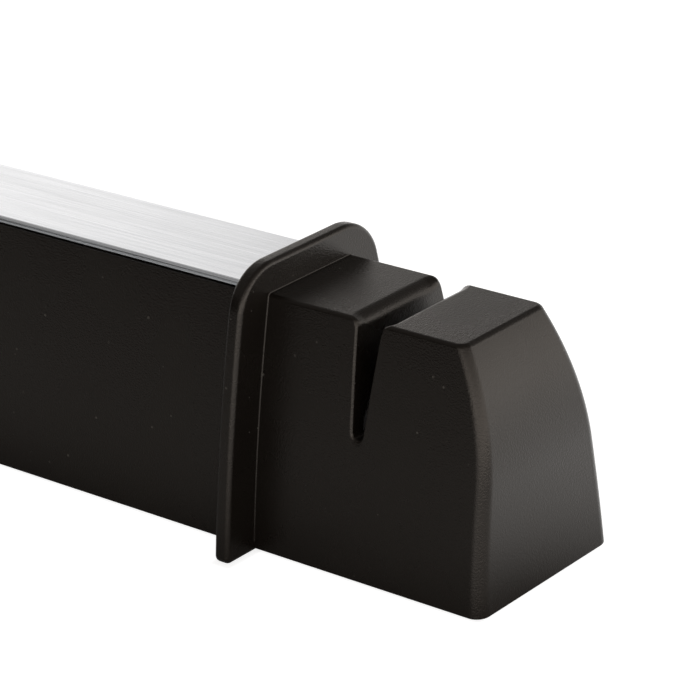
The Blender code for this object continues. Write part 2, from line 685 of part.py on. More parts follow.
def main():
    clear_scene()
    black_plastic = make_material("black_plastic", (0.014, 0.013, 0.012), 0.5)
    base_plastic = make_material("base_plastic", (0.018, 0.018, 0.018), 0.6)
    satin_steel = make_material("satin_steel", (0.62, 0.61, 0.6), 0.28, 1.0)
    zinc = make_material("zinc_plate", (0.5, 0.5, 0.52), 0.35, 1.0)
    pin_steel = make_material("pin_steel", (0.58, 0.58, 0.58), 0.2, 1.0)
    ceramic = make_material("wheel_ceramic", (0.09, 0.09, 0.092), 0.75)
    cradle_plastic = make_material("cradle_plastic", (0.12, 0.12, 0.125), 0.5)
    nylon = make_material("bush_nylon", (0.72, 0.7, 0.64), 0.45)
    rubber = make_material("foot_rubber", (0.03, 0.03, 0.03), 0.85)

    make_body_shell(black_plastic)
    make_handle_top_plate(satin_steel)
    make_base_plate(base_plastic)
    make_feet(rubber)
    make_screws(zinc)
    make_wheel_cradle(cradle_plastic)
    centre = make_axle_centre()
    make_axle(pin_steel, centre)
    make_wheel_set("left", -1, ceramic, nylon, pin_steel, centre)
    make_wheel_set("right", 1, ceramic, nylon, pin_steel, centre)


main()
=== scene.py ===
"""Looks of a pull-through kitchen sharpener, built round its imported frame.

Every piece is modelled in millimetres where the frame has its node, turned into metres,
given a procedural finish, and put on the body that carries it.
"""

from __future__ import annotations

import json
import logging
import math
from collections.abc import Iterable, Sequence
from dataclasses import dataclass, field, replace
from enum import Enum

import bmesh
import bpy
from bmesh.types import BMEdge, BMesh, BMFace
from bpy.types import Material, Node, NodeSocket, Object, ShaderNodeTree
from mathutils import Matrix, Vector

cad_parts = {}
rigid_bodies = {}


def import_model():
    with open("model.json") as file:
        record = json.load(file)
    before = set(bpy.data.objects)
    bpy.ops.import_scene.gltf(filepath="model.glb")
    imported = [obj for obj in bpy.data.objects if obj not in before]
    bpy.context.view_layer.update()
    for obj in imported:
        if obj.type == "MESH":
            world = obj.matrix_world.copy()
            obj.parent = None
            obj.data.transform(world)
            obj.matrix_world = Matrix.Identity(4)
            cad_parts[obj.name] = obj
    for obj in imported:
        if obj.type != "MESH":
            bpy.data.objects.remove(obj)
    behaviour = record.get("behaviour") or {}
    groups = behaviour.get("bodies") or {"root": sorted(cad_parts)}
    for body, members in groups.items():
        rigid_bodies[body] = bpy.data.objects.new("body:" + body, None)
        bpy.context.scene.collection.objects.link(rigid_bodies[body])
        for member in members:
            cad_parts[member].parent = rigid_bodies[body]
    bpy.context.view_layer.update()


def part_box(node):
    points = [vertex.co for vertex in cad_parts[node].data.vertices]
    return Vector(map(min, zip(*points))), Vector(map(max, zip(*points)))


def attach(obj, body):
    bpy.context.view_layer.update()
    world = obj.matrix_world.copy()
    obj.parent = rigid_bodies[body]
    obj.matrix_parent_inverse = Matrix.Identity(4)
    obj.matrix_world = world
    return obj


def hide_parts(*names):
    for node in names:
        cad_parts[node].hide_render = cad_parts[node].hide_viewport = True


for leftover in list(bpy.data.objects):
    bpy.data.objects.remove(leftover)
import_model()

LOG = logging.getLogger("sharpener")
MM = 0.001
WELD = 0.001
Point = tuple[float, float]
Span = tuple[float, float]
Colour = tuple[float, float, float]


class Axis(Enum):
    """A direction that a profile is turned about or an outline is pushed along."""

    X = 0
    Y = 1
    Z = 2

    @property
    def vector(self) -> Vector:
        """The axis as a unit vector."""
        return Vector([float(i == self.value) for i in range(3)])


class Carving(Enum):
    """How a tool changes the solid it is used on."""

    ADD = "UNION"
    CUT = "DIFFERENCE"


class Body(Enum):
    """The frame's bodies that pieces ride on."""

    HOUSING = "housing"
    LEFT_ROLLER = "left_roller"
    RIGHT_ROLLER = "right_roller"


class Side(Enum):
    """The two sides of the slot, as signs along X."""

    LEFT = -1
    RIGHT = 1

    @property
    def label(self) -> str:
        """The side's name as it stands in node names."""
        return self.name.lower()


@dataclass(frozen=True)
class NodeBox:
    """A frame node's box in millimetres."""

    low: Vector
    high: Vector

    @classmethod
    def of(cls, node: str) -> NodeBox:
        """Reads a node's box from the frame.

        Args:
            node: The node's name.

        Returns:
            Its box, in millimetres.
        """
        low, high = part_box(node)
        return cls(Vector(low) / MM, Vector(high) / MM)

    @property
    def centre(self) -> Vector:
        """The box's middle."""
        return (self.low + self.high) / 2

    @property
    def size(self) -> Vector:
        """The box's extents."""
        return self.high - self.low


@dataclass(frozen=True)
class Level:
    """A level outline: a rectangle along X with a corner radius at each end."""

    z: float
    low_x: float
    high_x: float
    half_width: float
    low_radius: float
    high_radius: float

    def ring(self, steps: int) -> list[Vector]:
        """Points round the outline.

        Args:
            steps: How many chords round off each corner.

        Returns:
            The points, counterclockwise from above.
        """
        corners = (
            (self.high_x - self.high_radius, 1, self.high_radius),
            (self.low_x + self.low_radius, 1, self.low_radius),
            (self.low_x + self.low_radius, -1, self.low_radius),
            (self.high_x - self.high_radius, -1, self.high_radius),
        )
        points = []
        for quarter, (x, sign, radius) in enumerate(corners):
            start = quarter * math.pi / 2
            centre = (x, sign * (self.half_width - radius))
            points += arc(centre, radius, start, start + math.pi / 2, steps)
        return [Vector((x, y, self.z)) for x, y in points]


def swept(rings: Sequence[Sequence[Vector]]) -> BMesh:
    """Pushes a ring of points on through further rings, with both ends closed.

    Args:
        rings: The rings in order, each with as many points as the first.

    Returns:
        The solid.
    """
    bm = bmesh.new()
    number = bm.verts.layers.int.new("number")
    verts = [bm.verts.new(place) for place in rings[0]]
    for i, vert in enumerate(verts):
        vert[number] = i
    end = bm.faces.new(verts)
    for ring in rings[1:]:
        pushed = bmesh.ops.extrude_face_region(bm, geom=[end, *end.edges, *end.verts])["geom"]
        end = next(item for item in pushed if isinstance(item, BMFace))
        for vert in end.verts:
            vert.co = ring[vert[number]]
    bmesh.ops.recalc_face_normals(bm, faces=bm.faces)
    return bm


def bevel(bm: BMesh, edges: Iterable[BMEdge], radius: float, steps: int) -> None:
    """Rounds off edges, or fillets them where they are hollow.

    Args:
        bm: The mesh.
        edges: The edges to round.
        radius: How far the rounding reaches on each side.
        steps: How many faces make it.
    """
    bmesh.ops.bevel(
        bm,
        geom=list(edges),
        offset=radius,
        segments=steps,
        profile=0.5,
        affect="EDGES",
        material=-1,
        clamp_overlap=True,
    )


def sharp_edges(bm: BMesh, angle: float = math.radians(30.0)) -> list[BMEdge]:
    """Finds outward edges that turn by more than an angle.

    Args:
        bm: The mesh.
        angle: The least turn.

    Returns:
        The edges.
    """
    return [e for e in bm.edges if e.is_manifold and e.calc_face_angle_signed(0.0) > angle]


def arc(centre: Point, radius: float, start: float, end: float, steps: int) -> list[Point]:
    """Points on a circle in a plane.

    Args:
        centre: The circle's middle.
        radius: Its radius.
        start: The first point's angle.
        end: The last point's angle.
        steps: How many chords lie between them.

    Returns:
        The points, one more than the chords.
    """
    angles = [start + (end - start) * i / steps for i in range(steps + 1)]
    return [(centre[0] + radius * math.cos(a), centre[1] + radius * math.sin(a)) for a in angles]


def pushed_outline(outline: Sequence[Point], axis: Axis, start: float, end: float) -> BMesh:
    """Pushes a flat outline along an axis.

    Args:
        outline: Points in the other two axes, in X, Y, Z order.
        axis: The direction.
        start: Where the outline lies on the axis.
        end: Where the push stops.

    Returns:
        The solid.
    """
    rings = []
    for along in (start, end):
        places = [list(point) for point in outline]
        for place in places:
            place.insert(axis.value, along)
        rings.append([Vector(place) for place in places])
    return swept(rings)


def turned(profile: Sequence[Point], axis: Axis, place: Vector, steps: int) -> BMesh:
    """Turns a closed profile about an axis.

    Args:
        profile: Points as (along the axis, radius).
        axis: X or Z.
        place: Where the profile's zero lies.
        steps: How many sides the turn has.

    Returns:
        The solid.
    """
    bm = bmesh.new()
    if axis is Axis.X:
        verts = [bm.verts.new((along, radius, 0.0)) for along, radius in profile]
    else:
        verts = [bm.verts.new((radius, 0.0, along)) for along, radius in profile]
    edges = [bm.edges.new((verts[i - 1], verts[i])) for i in range(len(verts))]
    bmesh.ops.spin(
        bm,
        geom=verts + edges,
        axis=axis.vector,
        cent=Vector(),
        angle=math.tau,
        steps=steps,
        use_merge=True,
    )
    bmesh.ops.remove_doubles(bm, verts=bm.verts, dist=0.0005)
    bmesh.ops.delete(bm, geom=[edge for edge in bm.edges if edge.is_wire], context="EDGES")
    bmesh.ops.recalc_face_normals(bm, faces=bm.faces)
    bmesh.ops.translate(bm, vec=place, verts=bm.verts)
    return bm


def rod(low: float, high: float, radius: float, axis: Axis, place: Vector, steps: int = 48) -> BMesh:
    """A plain round bar, for cutting with.

    Args:
        low: Where it starts along its axis.
        high: Where it ends.
        radius: Its radius.
        axis: X or Z.
        place: Where zero lies.
        steps: How many sides it has.

    Returns:
        The solid.
    """
    return turned([(low, 0.0), (low, radius), (high, radius), (high, 0.0)], axis, place, steps)


def block(low: Sequence[float], high: Sequence[float]) -> BMesh:
    """A box between two corners.

    Args:
        low: Its lowest corner.
        high: Its highest corner.

    Returns:
        The solid.
    """
    size = Vector(high) - Vector(low)
    middle = (Vector(high) + Vector(low)) / 2
    bm = bmesh.new()
    bmesh.ops.create_cube(bm, size=1.0, matrix=Matrix.Translation(middle) @ Matrix.Diagonal((*size, 1.0)))
    return bm


def to_object(name: str, bm: BMesh) -> Object:
    """Puts a mesh in the scene and uses it up.

    Args:
        name: The object's name.
        bm: The mesh.

    Returns:
        The object.
    """
    mesh = bpy.data.meshes.new(name)
    bm.to_mesh(mesh)
    bm.free()
    obj = bpy.data.objects.new(name, mesh)
    bpy.context.scene.collection.objects.link(obj)
    return obj


def in_order(bm: BMesh) -> BMesh:
    """Puts points and faces in an order of their own, because what carving gives depends on it.

    Args:
        bm: The mesh, which is used up.

    Returns:
        The same shape, in the same order each run.
    """
    points = sorted(bm.verts, key=lambda vert: tuple(vert.co))
    ranks = {vert: rank for rank, vert in enumerate(points)}
    loops = []
    for face in bm.faces:
        loop = [ranks[vert] for vert in face.verts]
        start = loop.index(min(loop))
        loops.append(loop[start:] + loop[:start])
    ordered = bmesh.new()
    verts = [ordered.verts.new(vert.co) for vert in points]
    for loop in sorted(loops):
        ordered.faces.new([verts[rank] for rank in loop])
    ordered.normal_update()
    bm.free()
    return ordered


def carve(base: BMesh, *cuts: tuple[Carving, BMesh]) -> BMesh:
    """Adds tools to a solid or cuts them out of it, one after another. All the meshes are used up.

    Args:
        base: The solid.
        cuts: What to do, and the tool to do it with.

    Returns:
        The carved solid.

    Raises:
        RuntimeError: If a step leaves nothing.
    """
    result = base
    for carving, tool in cuts:
        pair = [to_object("carved", in_order(result)), to_object("tool", in_order(tool))]
        modifier = pair[0].modifiers.new("carve", "BOOLEAN")
        modifier.operation = carving.value
        modifier.object = pair[1]
        modifier.solver = "EXACT"
        graph = bpy.context.evaluated_depsgraph_get()
        mesh = bpy.data.meshes.new_from_object(pair[0].evaluated_get(graph))
        result = bmesh.new()
        result.from_mesh(mesh)
        bpy.data.meshes.remove(mesh)
        for data in [obj.data for obj in pair]:
            bpy.data.meshes.remove(data)
        bmesh.ops.remove_doubles(result, verts=result.verts, dist=WELD)
        bmesh.ops.dissolve_degenerate(result, edges=result.edges, dist=WELD)
        if not result.faces:
            raise RuntimeError("Carving left nothing.")
    return result


def together(*parts: BMesh) -> BMesh:
    """Gathers meshes in one, still as separate bodies. The parts are used up.

    Args:
        parts: The meshes.

    Returns:
        All of them as one mesh.
    """
    whole = bmesh.new()
    for part in parts:
        mesh = bpy.data.meshes.new("part")
        part.to_mesh(mesh)
        part.free()
        whole.from_mesh(mesh)
        bpy.data.meshes.remove(mesh)
    return whole


@dataclass(frozen=True)
class Piece:
    """A finished piece: where it belongs and what it stands for."""

    name: str
    body: Body
    slot: str
    node: str
    smooth_angle: float = math.radians(32.0)

    def finish(self, bm: BMesh, look: Finish) -> Object:
        """Makes the piece's object from a mesh in millimetres and fits it to the frame.

        Args:
            bm: The mesh, which is used up.
            look: The piece's finish.

        Returns:
            The object.
        """
        bmesh.ops.scale(bm, vec=Vector((MM, MM, MM)), verts=bm.verts)
        obj = to_object(self.name, bm)
        obj.data.materials.append(look.material())
        obj.data.shade_smooth()
        obj.data.set_sharp_from_angle(angle=self.smooth_angle)
        weighting = obj.modifiers.new("flat_faces_lead", "WEIGHTED_NORMAL")
        weighting.keep_sharp = True
        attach(obj, self.body.value)
        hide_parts(self.node)
        LOG.info("%s: %d faces for node %s", self.name, len(obj.data.polygons), self.node)
        return obj


class NodeTree:
    """A shader node tree with short ways to add and join nodes."""

    def __init__(self, tree: ShaderNodeTree) -> None:
        """Wraps a tree."""
        self.tree = tree

    def add(self, kind: str, **settings: object) -> Node:
        """Adds a node.

        Args:
            kind: The node's type.
            settings: Properties, or input sockets with _ for spaces.

        Returns:
            The node.
        """
        node = self.tree.nodes.new(kind)
        for key, value in settings.items():
            if hasattr(node, key):
                setattr(node, key, value)
            else:
                self.feed(node.inputs[key.replace("_", " ")], value)
        return node

    def feed(self, socket: NodeSocket, value: object) -> None:
        """Links an output to a socket, or sets the socket's own value.

        Args:
            socket: The input socket.
            value: An output, or a plain value.
        """
        if isinstance(value, NodeSocket):
            self.tree.links.new(value, socket)
        else:
            socket.default_value = value

    def math(self, operation: str, *values: object, clamp: bool = False) -> NodeSocket:
        """Adds a Math node.

        Args:
            operation: What it does.
            values: Numbers or outputs for its inputs, in order.
            clamp: Whether the result stays between 0 and 1.

        Returns:
            Its output.
        """
        node = self.tree.nodes.new("ShaderNodeMath")
        node.operation = operation
        node.use_clamp = clamp
        for socket, value in zip(node.inputs, values):
            self.feed(socket, value)
        return node.outputs[0]

    def place(self) -> NodeSocket:
        """The piece's own coordinates."""
        return self.add("ShaderNodeTexCoord").outputs["Object"]

    def vector(self, operation: str, *values: object) -> NodeSocket:
        """Adds a Vector Math node.

        Args:
            operation: What it does.
            values: Vectors or outputs for its inputs, in order.

        Returns:
            Its output, which is a number for a dot product and a vector otherwise.
        """
        node = self.tree.nodes.new("ShaderNodeVectorMath")
        node.operation = operation
        for socket, value in zip(node.inputs, values):
            self.feed(socket, value)
        return node.outputs["Value" if operation == "DOT_PRODUCT" else "Vector"]

    def span(
        self, value: NodeSocket, low: float, high: float, to_low: object, to_high: object
    ) -> NodeSocket:
        """Maps a value smoothly from one range to another.

        Args:
            value: The value.
            low: Where the range starts.
            high: Where it ends.
            to_low: The result at its start.
            to_high: The result at its end.

        Returns:
            The mapped value.
        """
        node = self.tree.nodes.new("ShaderNodeMapRange")
        node.interpolation_type = "SMOOTHSTEP"
        for name, item in (
            ("Value", value),
            ("From Min", low),
            ("From Max", high),
            ("To Min", to_low),
            ("To Max", to_high),
        ):
            self.feed(node.inputs[name], item)
        return node.outputs["Result"]

    def spread(self, noise: NodeSocket, reach: float, to_low: float, to_high: float) -> NodeSocket:
        """Maps the middle of a noise's range smoothly to another range.

        Args:
            noise: The noise, from 0 to 1.
            reach: How far the mapped part goes to each side of one half.
            to_low: The result at its start.
            to_high: The result at its end.

        Returns:
            The mapped value.
        """
        return self.span(noise, 0.5 - reach, 0.5 + reach, to_low, to_high)

    def blend(self, share: object, first: object, second: object) -> NodeSocket:
        """Mixes two colours.

        Args:
            share: How much of the second.
            first: A colour or an output.
            second: A colour or an output.

        Returns:
            The mixed colour.
        """
        node = self.tree.nodes.new("ShaderNodeMix")
        node.data_type = "RGBA"
        colours = [socket for socket in node.inputs if socket.type == "RGBA"]
        self.feed(node.inputs[0], share)
        for socket, colour in zip(colours, (first, second)):
            self.feed(socket, colour if isinstance(colour, NodeSocket) else (*colour, 1.0))
        return next(socket for socket in node.outputs if socket.type == "RGBA")


class Effect:
    """A shader node group that several finishes share, built once."""

    name = ""
    inputs: dict[str, float] = {}
    outputs: tuple[str, ...] = ()

    @classmethod
    def group(cls) -> ShaderNodeTree:
        """Gives the node group, making it at the first call.

        Returns:
            The group.
        """
        made = bpy.data.node_groups.get(cls.name)
        if made is not None:
            return made
        group = bpy.data.node_groups.new(cls.name, "ShaderNodeTree")
        for name, value in cls.inputs.items():
            socket = group.interface.new_socket(name, in_out="INPUT", socket_type="NodeSocketFloat")
            socket.default_value = value
        for name in cls.outputs:
            group.interface.new_socket(name, in_out="OUTPUT", socket_type="NodeSocketFloat")
        nodes = NodeTree(group)
        start = nodes.add("NodeGroupInput")
        end = nodes.add("NodeGroupOutput")
        for name, value in cls.draw(nodes, start).items():
            nodes.feed(end.inputs[name], value)
        return group

    @classmethod
    def draw(cls, nodes: NodeTree, start: Node) -> dict[str, NodeSocket]:
        """Draws the effect's nodes.

        Args:
            nodes: The group's tree.
            start: The node with the group's inputs.

        Returns:
            An output for each of the effect's names.
        """
        raise NotImplementedError

    @classmethod
    def use(cls, nodes: NodeTree, **values: float) -> Node:
        """Places the effect in a material.

        Args:
            nodes: The material's tree.
            values: Its inputs, with _ for spaces.

        Returns:
            The group node.
        """
        node = nodes.add("ShaderNodeGroup")
        node.node_tree = cls.group()
        for key, value in values.items():
            nodes.feed(node.inputs[key.replace("_", " ")], value)
        return node


class Grain(Effect):
    """The fine spark-eroded texture of a mould, and slow unevenness of its gloss."""

    name = "moulded_grain"
    inputs = {"Size": 0.0003, "Mottle Size": 0.02}
    outputs = ("Height", "Mottle")

    @classmethod
    def draw(cls, nodes: NodeTree, start: Node) -> dict[str, NodeSocket]:
        """Draws two scales of noise on the piece's own coordinates.

        Args:
            nodes: The group's tree.
            start: The node with the sizes of both.

        Returns:
            The fine noise as Height and the slow one as Mottle.
        """
        place = nodes.place()
        fine_scale = nodes.math("DIVIDE", 1.0, start.outputs["Size"])
        slow_scale = nodes.math("DIVIDE", 1.0, start.outputs["Mottle Size"])
        fine = nodes.add("ShaderNodeTexNoise", Vector=place, Scale=fine_scale, Detail=2.0, Roughness=0.6)
        slow = nodes.add("ShaderNodeTexNoise", Vector=place, Scale=slow_scale, Detail=3.0, Roughness=0.55)
        return {"Height": fine.outputs["Fac"], "Mottle": slow.outputs["Fac"]}


class Specks(Effect):
    """Scattered dots of dust or grit, each of its own size."""

    name = "scattered_specks"
    inputs = {"Spacing": 0.004, "Radius": 0.12}
    outputs = ("Mask",)
    rarity = 3.0
    sharpness = 30.0

    @classmethod
    def draw(cls, nodes: NodeTree, start: Node) -> dict[str, NodeSocket]:
        """Draws cells, and a dot in the middle of some of them.

        Args:
            nodes: The group's tree.
            start: The node with the cells' size and the largest dot's share of it.

        Returns:
            The dots as Mask.
        """
        scale = nodes.math("DIVIDE", 1.0, start.outputs["Spacing"])
        cells = nodes.add("ShaderNodeTexVoronoi", Vector=nodes.place(), Scale=scale)
        parts = nodes.add("ShaderNodeSeparateColor", Color=cells.outputs["Color"])
        chance = nodes.math("POWER", parts.outputs["Red"], cls.rarity)
        radius = nodes.math("MULTIPLY", chance, start.outputs["Radius"])
        depth = nodes.math("SUBTRACT", radius, cells.outputs["Distance"])
        return {"Mask": nodes.math("MULTIPLY", depth, cls.sharpness, clamp=True)}


class Brushing(Effect):
    """Fine lines along X, as a belt leaves them on sheet metal."""

    name = "brushed_lines"
    inputs = {"Line Width": 0.00012, "Line Length": 0.03}
    outputs = ("Height", "Tone")

    @classmethod
    def draw(cls, nodes: NodeTree, start: Node) -> dict[str, NodeSocket]:
        """Draws noise that is drawn out along X, and a slow one that isn't.

        Args:
            nodes: The group's tree.
            start: The node with the lines' width and length.

        Returns:
            The lines as Height and the slow noise as Tone.
        """
        place = nodes.place()
        along = nodes.math("DIVIDE", 1.0, start.outputs["Line Length"])
        across = nodes.math("DIVIDE", 1.0, start.outputs["Line Width"])
        stretch = nodes.add("ShaderNodeCombineXYZ", X=along, Y=across, Z=across)
        drawn = nodes.vector("MULTIPLY", place, stretch.outputs["Vector"])
        lines = nodes.add("ShaderNodeTexNoise", Vector=drawn, Scale=1.0, Detail=3.0)
        tone = nodes.add("ShaderNodeTexNoise", Vector=place, Scale=45.0, Detail=2.0)
        return {"Height": lines.outputs["Fac"], "Tone": tone.outputs["Fac"]}


class Finish:
    """What all finishes do: name a material, shade it, and keep it for reuse."""

    name: str
    roughness: float
    gloss_reach: float
    gloss_change: Span

    def material(self) -> Material:
        """Gives the finish's material, making it at the first call.

        Returns:
            The material.
        """
        made = bpy.data.materials.get(self.name)
        if made is not None:
            return made
        material = bpy.data.materials.new(self.name)
        material.use_nodes = True
        self.shade(NodeTree(material.node_tree), material.node_tree.nodes["Principled BSDF"])
        return material

    def shade(self, nodes: NodeTree, shader: Node) -> None:
        """Connects the finish to a shader.

        Args:
            nodes: The material's tree.
            shader: Its Principled shader.
        """
        raise NotImplementedError

    def gloss(self, nodes: NodeTree, shader: Node, noise: NodeSocket) -> None:
        """Lets a noise change the roughness.

        Args:
            nodes: The material's tree.
            shader: Its Principled shader.
            noise: The noise, from 0 to 1.
        """
        low, high = (self.roughness + change for change in self.gloss_change)
        nodes.feed(shader.inputs["Roughness"], nodes.spread(noise, self.gloss_reach, low, high))

    @staticmethod
    def bump(nodes: NodeTree, shader: Node, height: NodeSocket, depth: float, strength: float) -> None:
        """Raises the surface by a height.

        Args:
            nodes: The material's tree.
            shader: Its Principled shader.
            height: The height, from 0 to 1.
            depth: What a height of 1 means, in metres.
            strength: How much of it shows.
        """
        node = nodes.add("ShaderNodeBump", Strength=strength, Distance=depth, Height=height)
        nodes.feed(shader.inputs["Normal"], node.outputs["Normal"])


@dataclass(frozen=True)
class MouldedPlastic(Finish):
    """Plastic with the mould's fine matte texture and a little dust."""

    name: str
    colour: Colour
    pale: Colour
    roughness: float
    grain: float = 0.00034
    depth: float = 0.0001
    strength: float = 0.65
    mottle: float = 0.018
    tint_reach: float = 0.2
    tint_share: float = 0.5
    dust: float = 0.13
    dust_spacing: float = 0.0024
    dust_share: float = 0.2
    dust_colour: Colour = (0.2, 0.19, 0.17)
    gloss_reach: float = 0.25
    gloss_change: Span = (-0.04, 0.05)
    specular: float = 0.33
    sheen: Colour = (1.0, 0.92, 0.84)

    def shade(self, nodes: NodeTree, shader: Node) -> None:
        """Mixes grain, uneven gloss and specks.

        Args:
            nodes: The material's tree.
            shader: Its Principled shader.
        """
        grain = Grain.use(nodes, Size=self.grain, Mottle_Size=self.mottle)
        specks = Specks.use(nodes, Spacing=self.dust_spacing, Radius=self.dust)
        tint = nodes.spread(grain.outputs["Mottle"], self.tint_reach, 0.0, self.tint_share)
        worn = nodes.blend(tint, self.colour, self.pale)
        dust = nodes.math("MULTIPLY", specks.outputs["Mask"], self.dust_share)
        nodes.feed(shader.inputs["Base Color"], nodes.blend(dust, worn, self.dust_colour))
        self.gloss(nodes, shader, grain.outputs["Mottle"])
        shader.inputs["Specular IOR Level"].default_value = self.specular
        shader.inputs["Specular Tint"].default_value = (*self.sheen, 1.0)
        self.bump(nodes, shader, grain.outputs["Height"], self.depth, self.strength)


@dataclass(frozen=True)
class BrushedSteel(Finish):
    """Satin stainless sheet, brushed along X."""

    name: str
    colour: Colour
    shadow: Colour
    roughness: float
    tone_reach: float = 0.2
    tone_share: float = 0.3
    streak_reach: float = 0.15
    streak_share: float = 0.2
    gloss_reach: float = 0.2
    gloss_change: Span = (-0.05, 0.08)
    depth: float = 0.000004
    strength: float = 0.5

    def shade(self, nodes: NodeTree, shader: Node) -> None:
        """Lets the brushing steer gloss, tone and normals.

        Args:
            nodes: The material's tree.
            shader: Its Principled shader.
        """
        lines = Brushing.use(nodes)
        tone = nodes.spread(lines.outputs["Tone"], self.tone_reach, 0.0, self.tone_share)
        streak = nodes.spread(lines.outputs["Height"], self.streak_reach, 0.0, self.streak_share)
        share = nodes.math("ADD", tone, streak, clamp=True)
        nodes.feed(shader.inputs["Base Color"], nodes.blend(share, self.colour, self.shadow))
        self.gloss(nodes, shader, lines.outputs["Height"])
        shader.inputs["Metallic"].default_value = 1.0
        self.bump(nodes, shader, lines.outputs["Height"], self.depth, self.strength)


@dataclass(frozen=True)
class GroundMetal(Finish):
    """Small turned, stamped or plated metal parts."""

    name: str
    colour: Colour
    shadow: Colour
    roughness: float
    grain: float = 0.00018
    mottle: float = 0.0025
    cloud_reach: float = 0.2
    cloud_share: float = 0.7
    gloss_reach: float = 0.3
    gloss_change: Span = (-0.05, 0.1)
    depth: float = 0.00001
    strength: float = 0.3

    def shade(self, nodes: NodeTree, shader: Node) -> None:
        """Mixes a fine tool texture with slow clouding of the plating.

        Args:
            nodes: The material's tree.
            shader: Its Principled shader.
        """
        grain = Grain.use(nodes, Size=self.grain, Mottle_Size=self.mottle)
        cloud = nodes.spread(grain.outputs["Mottle"], self.cloud_reach, 0.0, self.cloud_share)
        nodes.feed(shader.inputs["Base Color"], nodes.blend(cloud, self.colour, self.shadow))
        self.gloss(nodes, shader, grain.outputs["Mottle"])
        shader.inputs["Metallic"].default_value = 1.0
        self.bump(nodes, shader, grain.outputs["Height"], self.depth, self.strength)


@dataclass(frozen=True)
class AbrasiveCeramic(Finish):
    """Sintered grit, darkened by ground metal where the two wheels make their groove; the same darkening is
    painted shade where the wheels show inside the slot.
    """

    name: str
    axle: Vector
    groove_root: float
    rim: float
    colour: Colour = (0.08, 0.08, 0.082)
    grit: Colour = (0.11, 0.109, 0.107)
    stain: Colour = (0.015, 0.015, 0.015)
    roughness: float = 0.8
    worn_change: float = -0.1
    grain: float = 0.00012
    mottle: float = 0.003
    grit_spacing: float = 0.0005
    grit_radius: float = 0.5
    grit_share: float = 0.5
    rim_share: float = 0.93
    inward: Span = (0.0025, 0.0035)
    patch_reach: float = 0.15
    patch_levels: Span = (0.75, 0.98)
    depth: float = 0.00005
    strength: float = 0.5

    def groove(self, nodes: NodeTree) -> NodeSocket:
        """Finds the rim of a wheel on the side that looks at the other wheel.

        Args:
            nodes: The material's tree.

        Returns:
            A value of 1 there, which fades to 0 elsewhere.
        """
        arm = nodes.vector("SUBTRACT", nodes.place(), self.axle * MM)
        parts = nodes.add("ShaderNodeSeparateXYZ", Vector=arm)
        square = nodes.math("MULTIPLY", parts.outputs["Y"], parts.outputs["Y"])
        square = nodes.math("MULTIPLY_ADD", parts.outputs["Z"], parts.outputs["Z"], square)
        radius = nodes.math("SQRT", square)
        aside = nodes.math("ABSOLUTE", parts.outputs["X"])
        reached = nodes.span(radius, self.groove_root * MM, self.rim * MM * self.rim_share, 0.0, 1.0)
        return nodes.math("MULTIPLY", reached, nodes.span(aside, *self.inward, 1.0, 0.0))

    def shade(self, nodes: NodeTree, shader: Node) -> None:
        """Mixes grit with a dark patch of ground metal in the groove, which is also painted shade where the
        wheels show inside the slot.

        Args:
            nodes: The material's tree.
            shader: Its Principled shader.
        """
        grain = Grain.use(nodes, Size=self.grain, Mottle_Size=self.mottle)
        specks = Specks.use(nodes, Spacing=self.grit_spacing, Radius=self.grit_radius)
        patch = nodes.spread(grain.outputs["Mottle"], self.patch_reach, *self.patch_levels)
        # Partly painted shade: the ground-metal darkening also stands in for the slot's shade on the rim.
        stain = nodes.math("MULTIPLY", self.groove(nodes), patch)
        share = nodes.math("MULTIPLY", specks.outputs["Mask"], self.grit_share)
        gritty = nodes.blend(share, self.colour, self.grit)
        nodes.feed(shader.inputs["Base Color"], nodes.blend(stain, gritty, self.stain))
        worn = self.roughness + self.worn_change
        nodes.feed(shader.inputs["Roughness"], nodes.span(stain, 0.0, 1.0, self.roughness, worn))
        self.bump(nodes, shader, grain.outputs["Height"], self.depth, self.strength)


@dataclass(frozen=True)
class Rubber(Finish):
    """Dull rubber with a bloom of fine dust."""

    name: str
    colour: Colour
    bloom: Colour
    roughness: float
    grain: float = 0.0004
    mottle: float = 0.004
    bloom_span: Span = (0.35, 0.75)
    bloom_share: float = 0.6
    gloss_reach: float = 0.2
    gloss_change: Span = (-0.08, 0.0)
    depth: float = 0.00006
    strength: float = 0.5

    def shade(self, nodes: NodeTree, shader: Node) -> None:
        """Mixes a matte grain with a pale bloom.

        Args:
            nodes: The material's tree.
            shader: Its Principled shader.
        """
        grain = Grain.use(nodes, Size=self.grain, Mottle_Size=self.mottle)
        bloom = nodes.span(grain.outputs["Mottle"], *self.bloom_span, 0.0, self.bloom_share)
        nodes.feed(shader.inputs["Base Color"], nodes.blend(bloom, self.colour, self.bloom))
        self.gloss(nodes, shader, grain.outputs["Height"])
        self.bump(nodes, shader, grain.outputs["Height"], self.depth, self.strength)


BLACK_PLASTIC = MouldedPlastic(
    "black_plastic_moulded", (0.0041, 0.0031, 0.0024), (0.0052, 0.0042, 0.0033), 0.27
)
BASE_PLASTIC = MouldedPlastic("base_plastic_moulded", (0.02, 0.02, 0.02), (0.028, 0.028, 0.028), 0.58)
CRADLE_PLASTIC = MouldedPlastic("cradle_plastic_moulded", (0.11, 0.11, 0.115), (0.14, 0.14, 0.145), 0.48)
BUSH_NYLON = MouldedPlastic("bush_nylon_moulded", (0.7, 0.68, 0.62), (0.74, 0.72, 0.67), 0.42, dust=0.0)
SATIN_STEEL = BrushedSteel("satin_steel_brushed", (0.9, 0.945, 1.0), (0.82, 0.86, 0.91), 0.26)
SCREW_ZINC = GroundMetal("screw_zinc_plated", (0.56, 0.56, 0.58), (0.42, 0.42, 0.45), 0.32)
PIN_STEEL = GroundMetal("pin_steel_ground", (0.6, 0.6, 0.6), (0.5, 0.5, 0.5), 0.2)
FOOT_RUBBER = Rubber("foot_rubber_dull", (0.022, 0.022, 0.022), (0.04, 0.039, 0.038), 0.86)


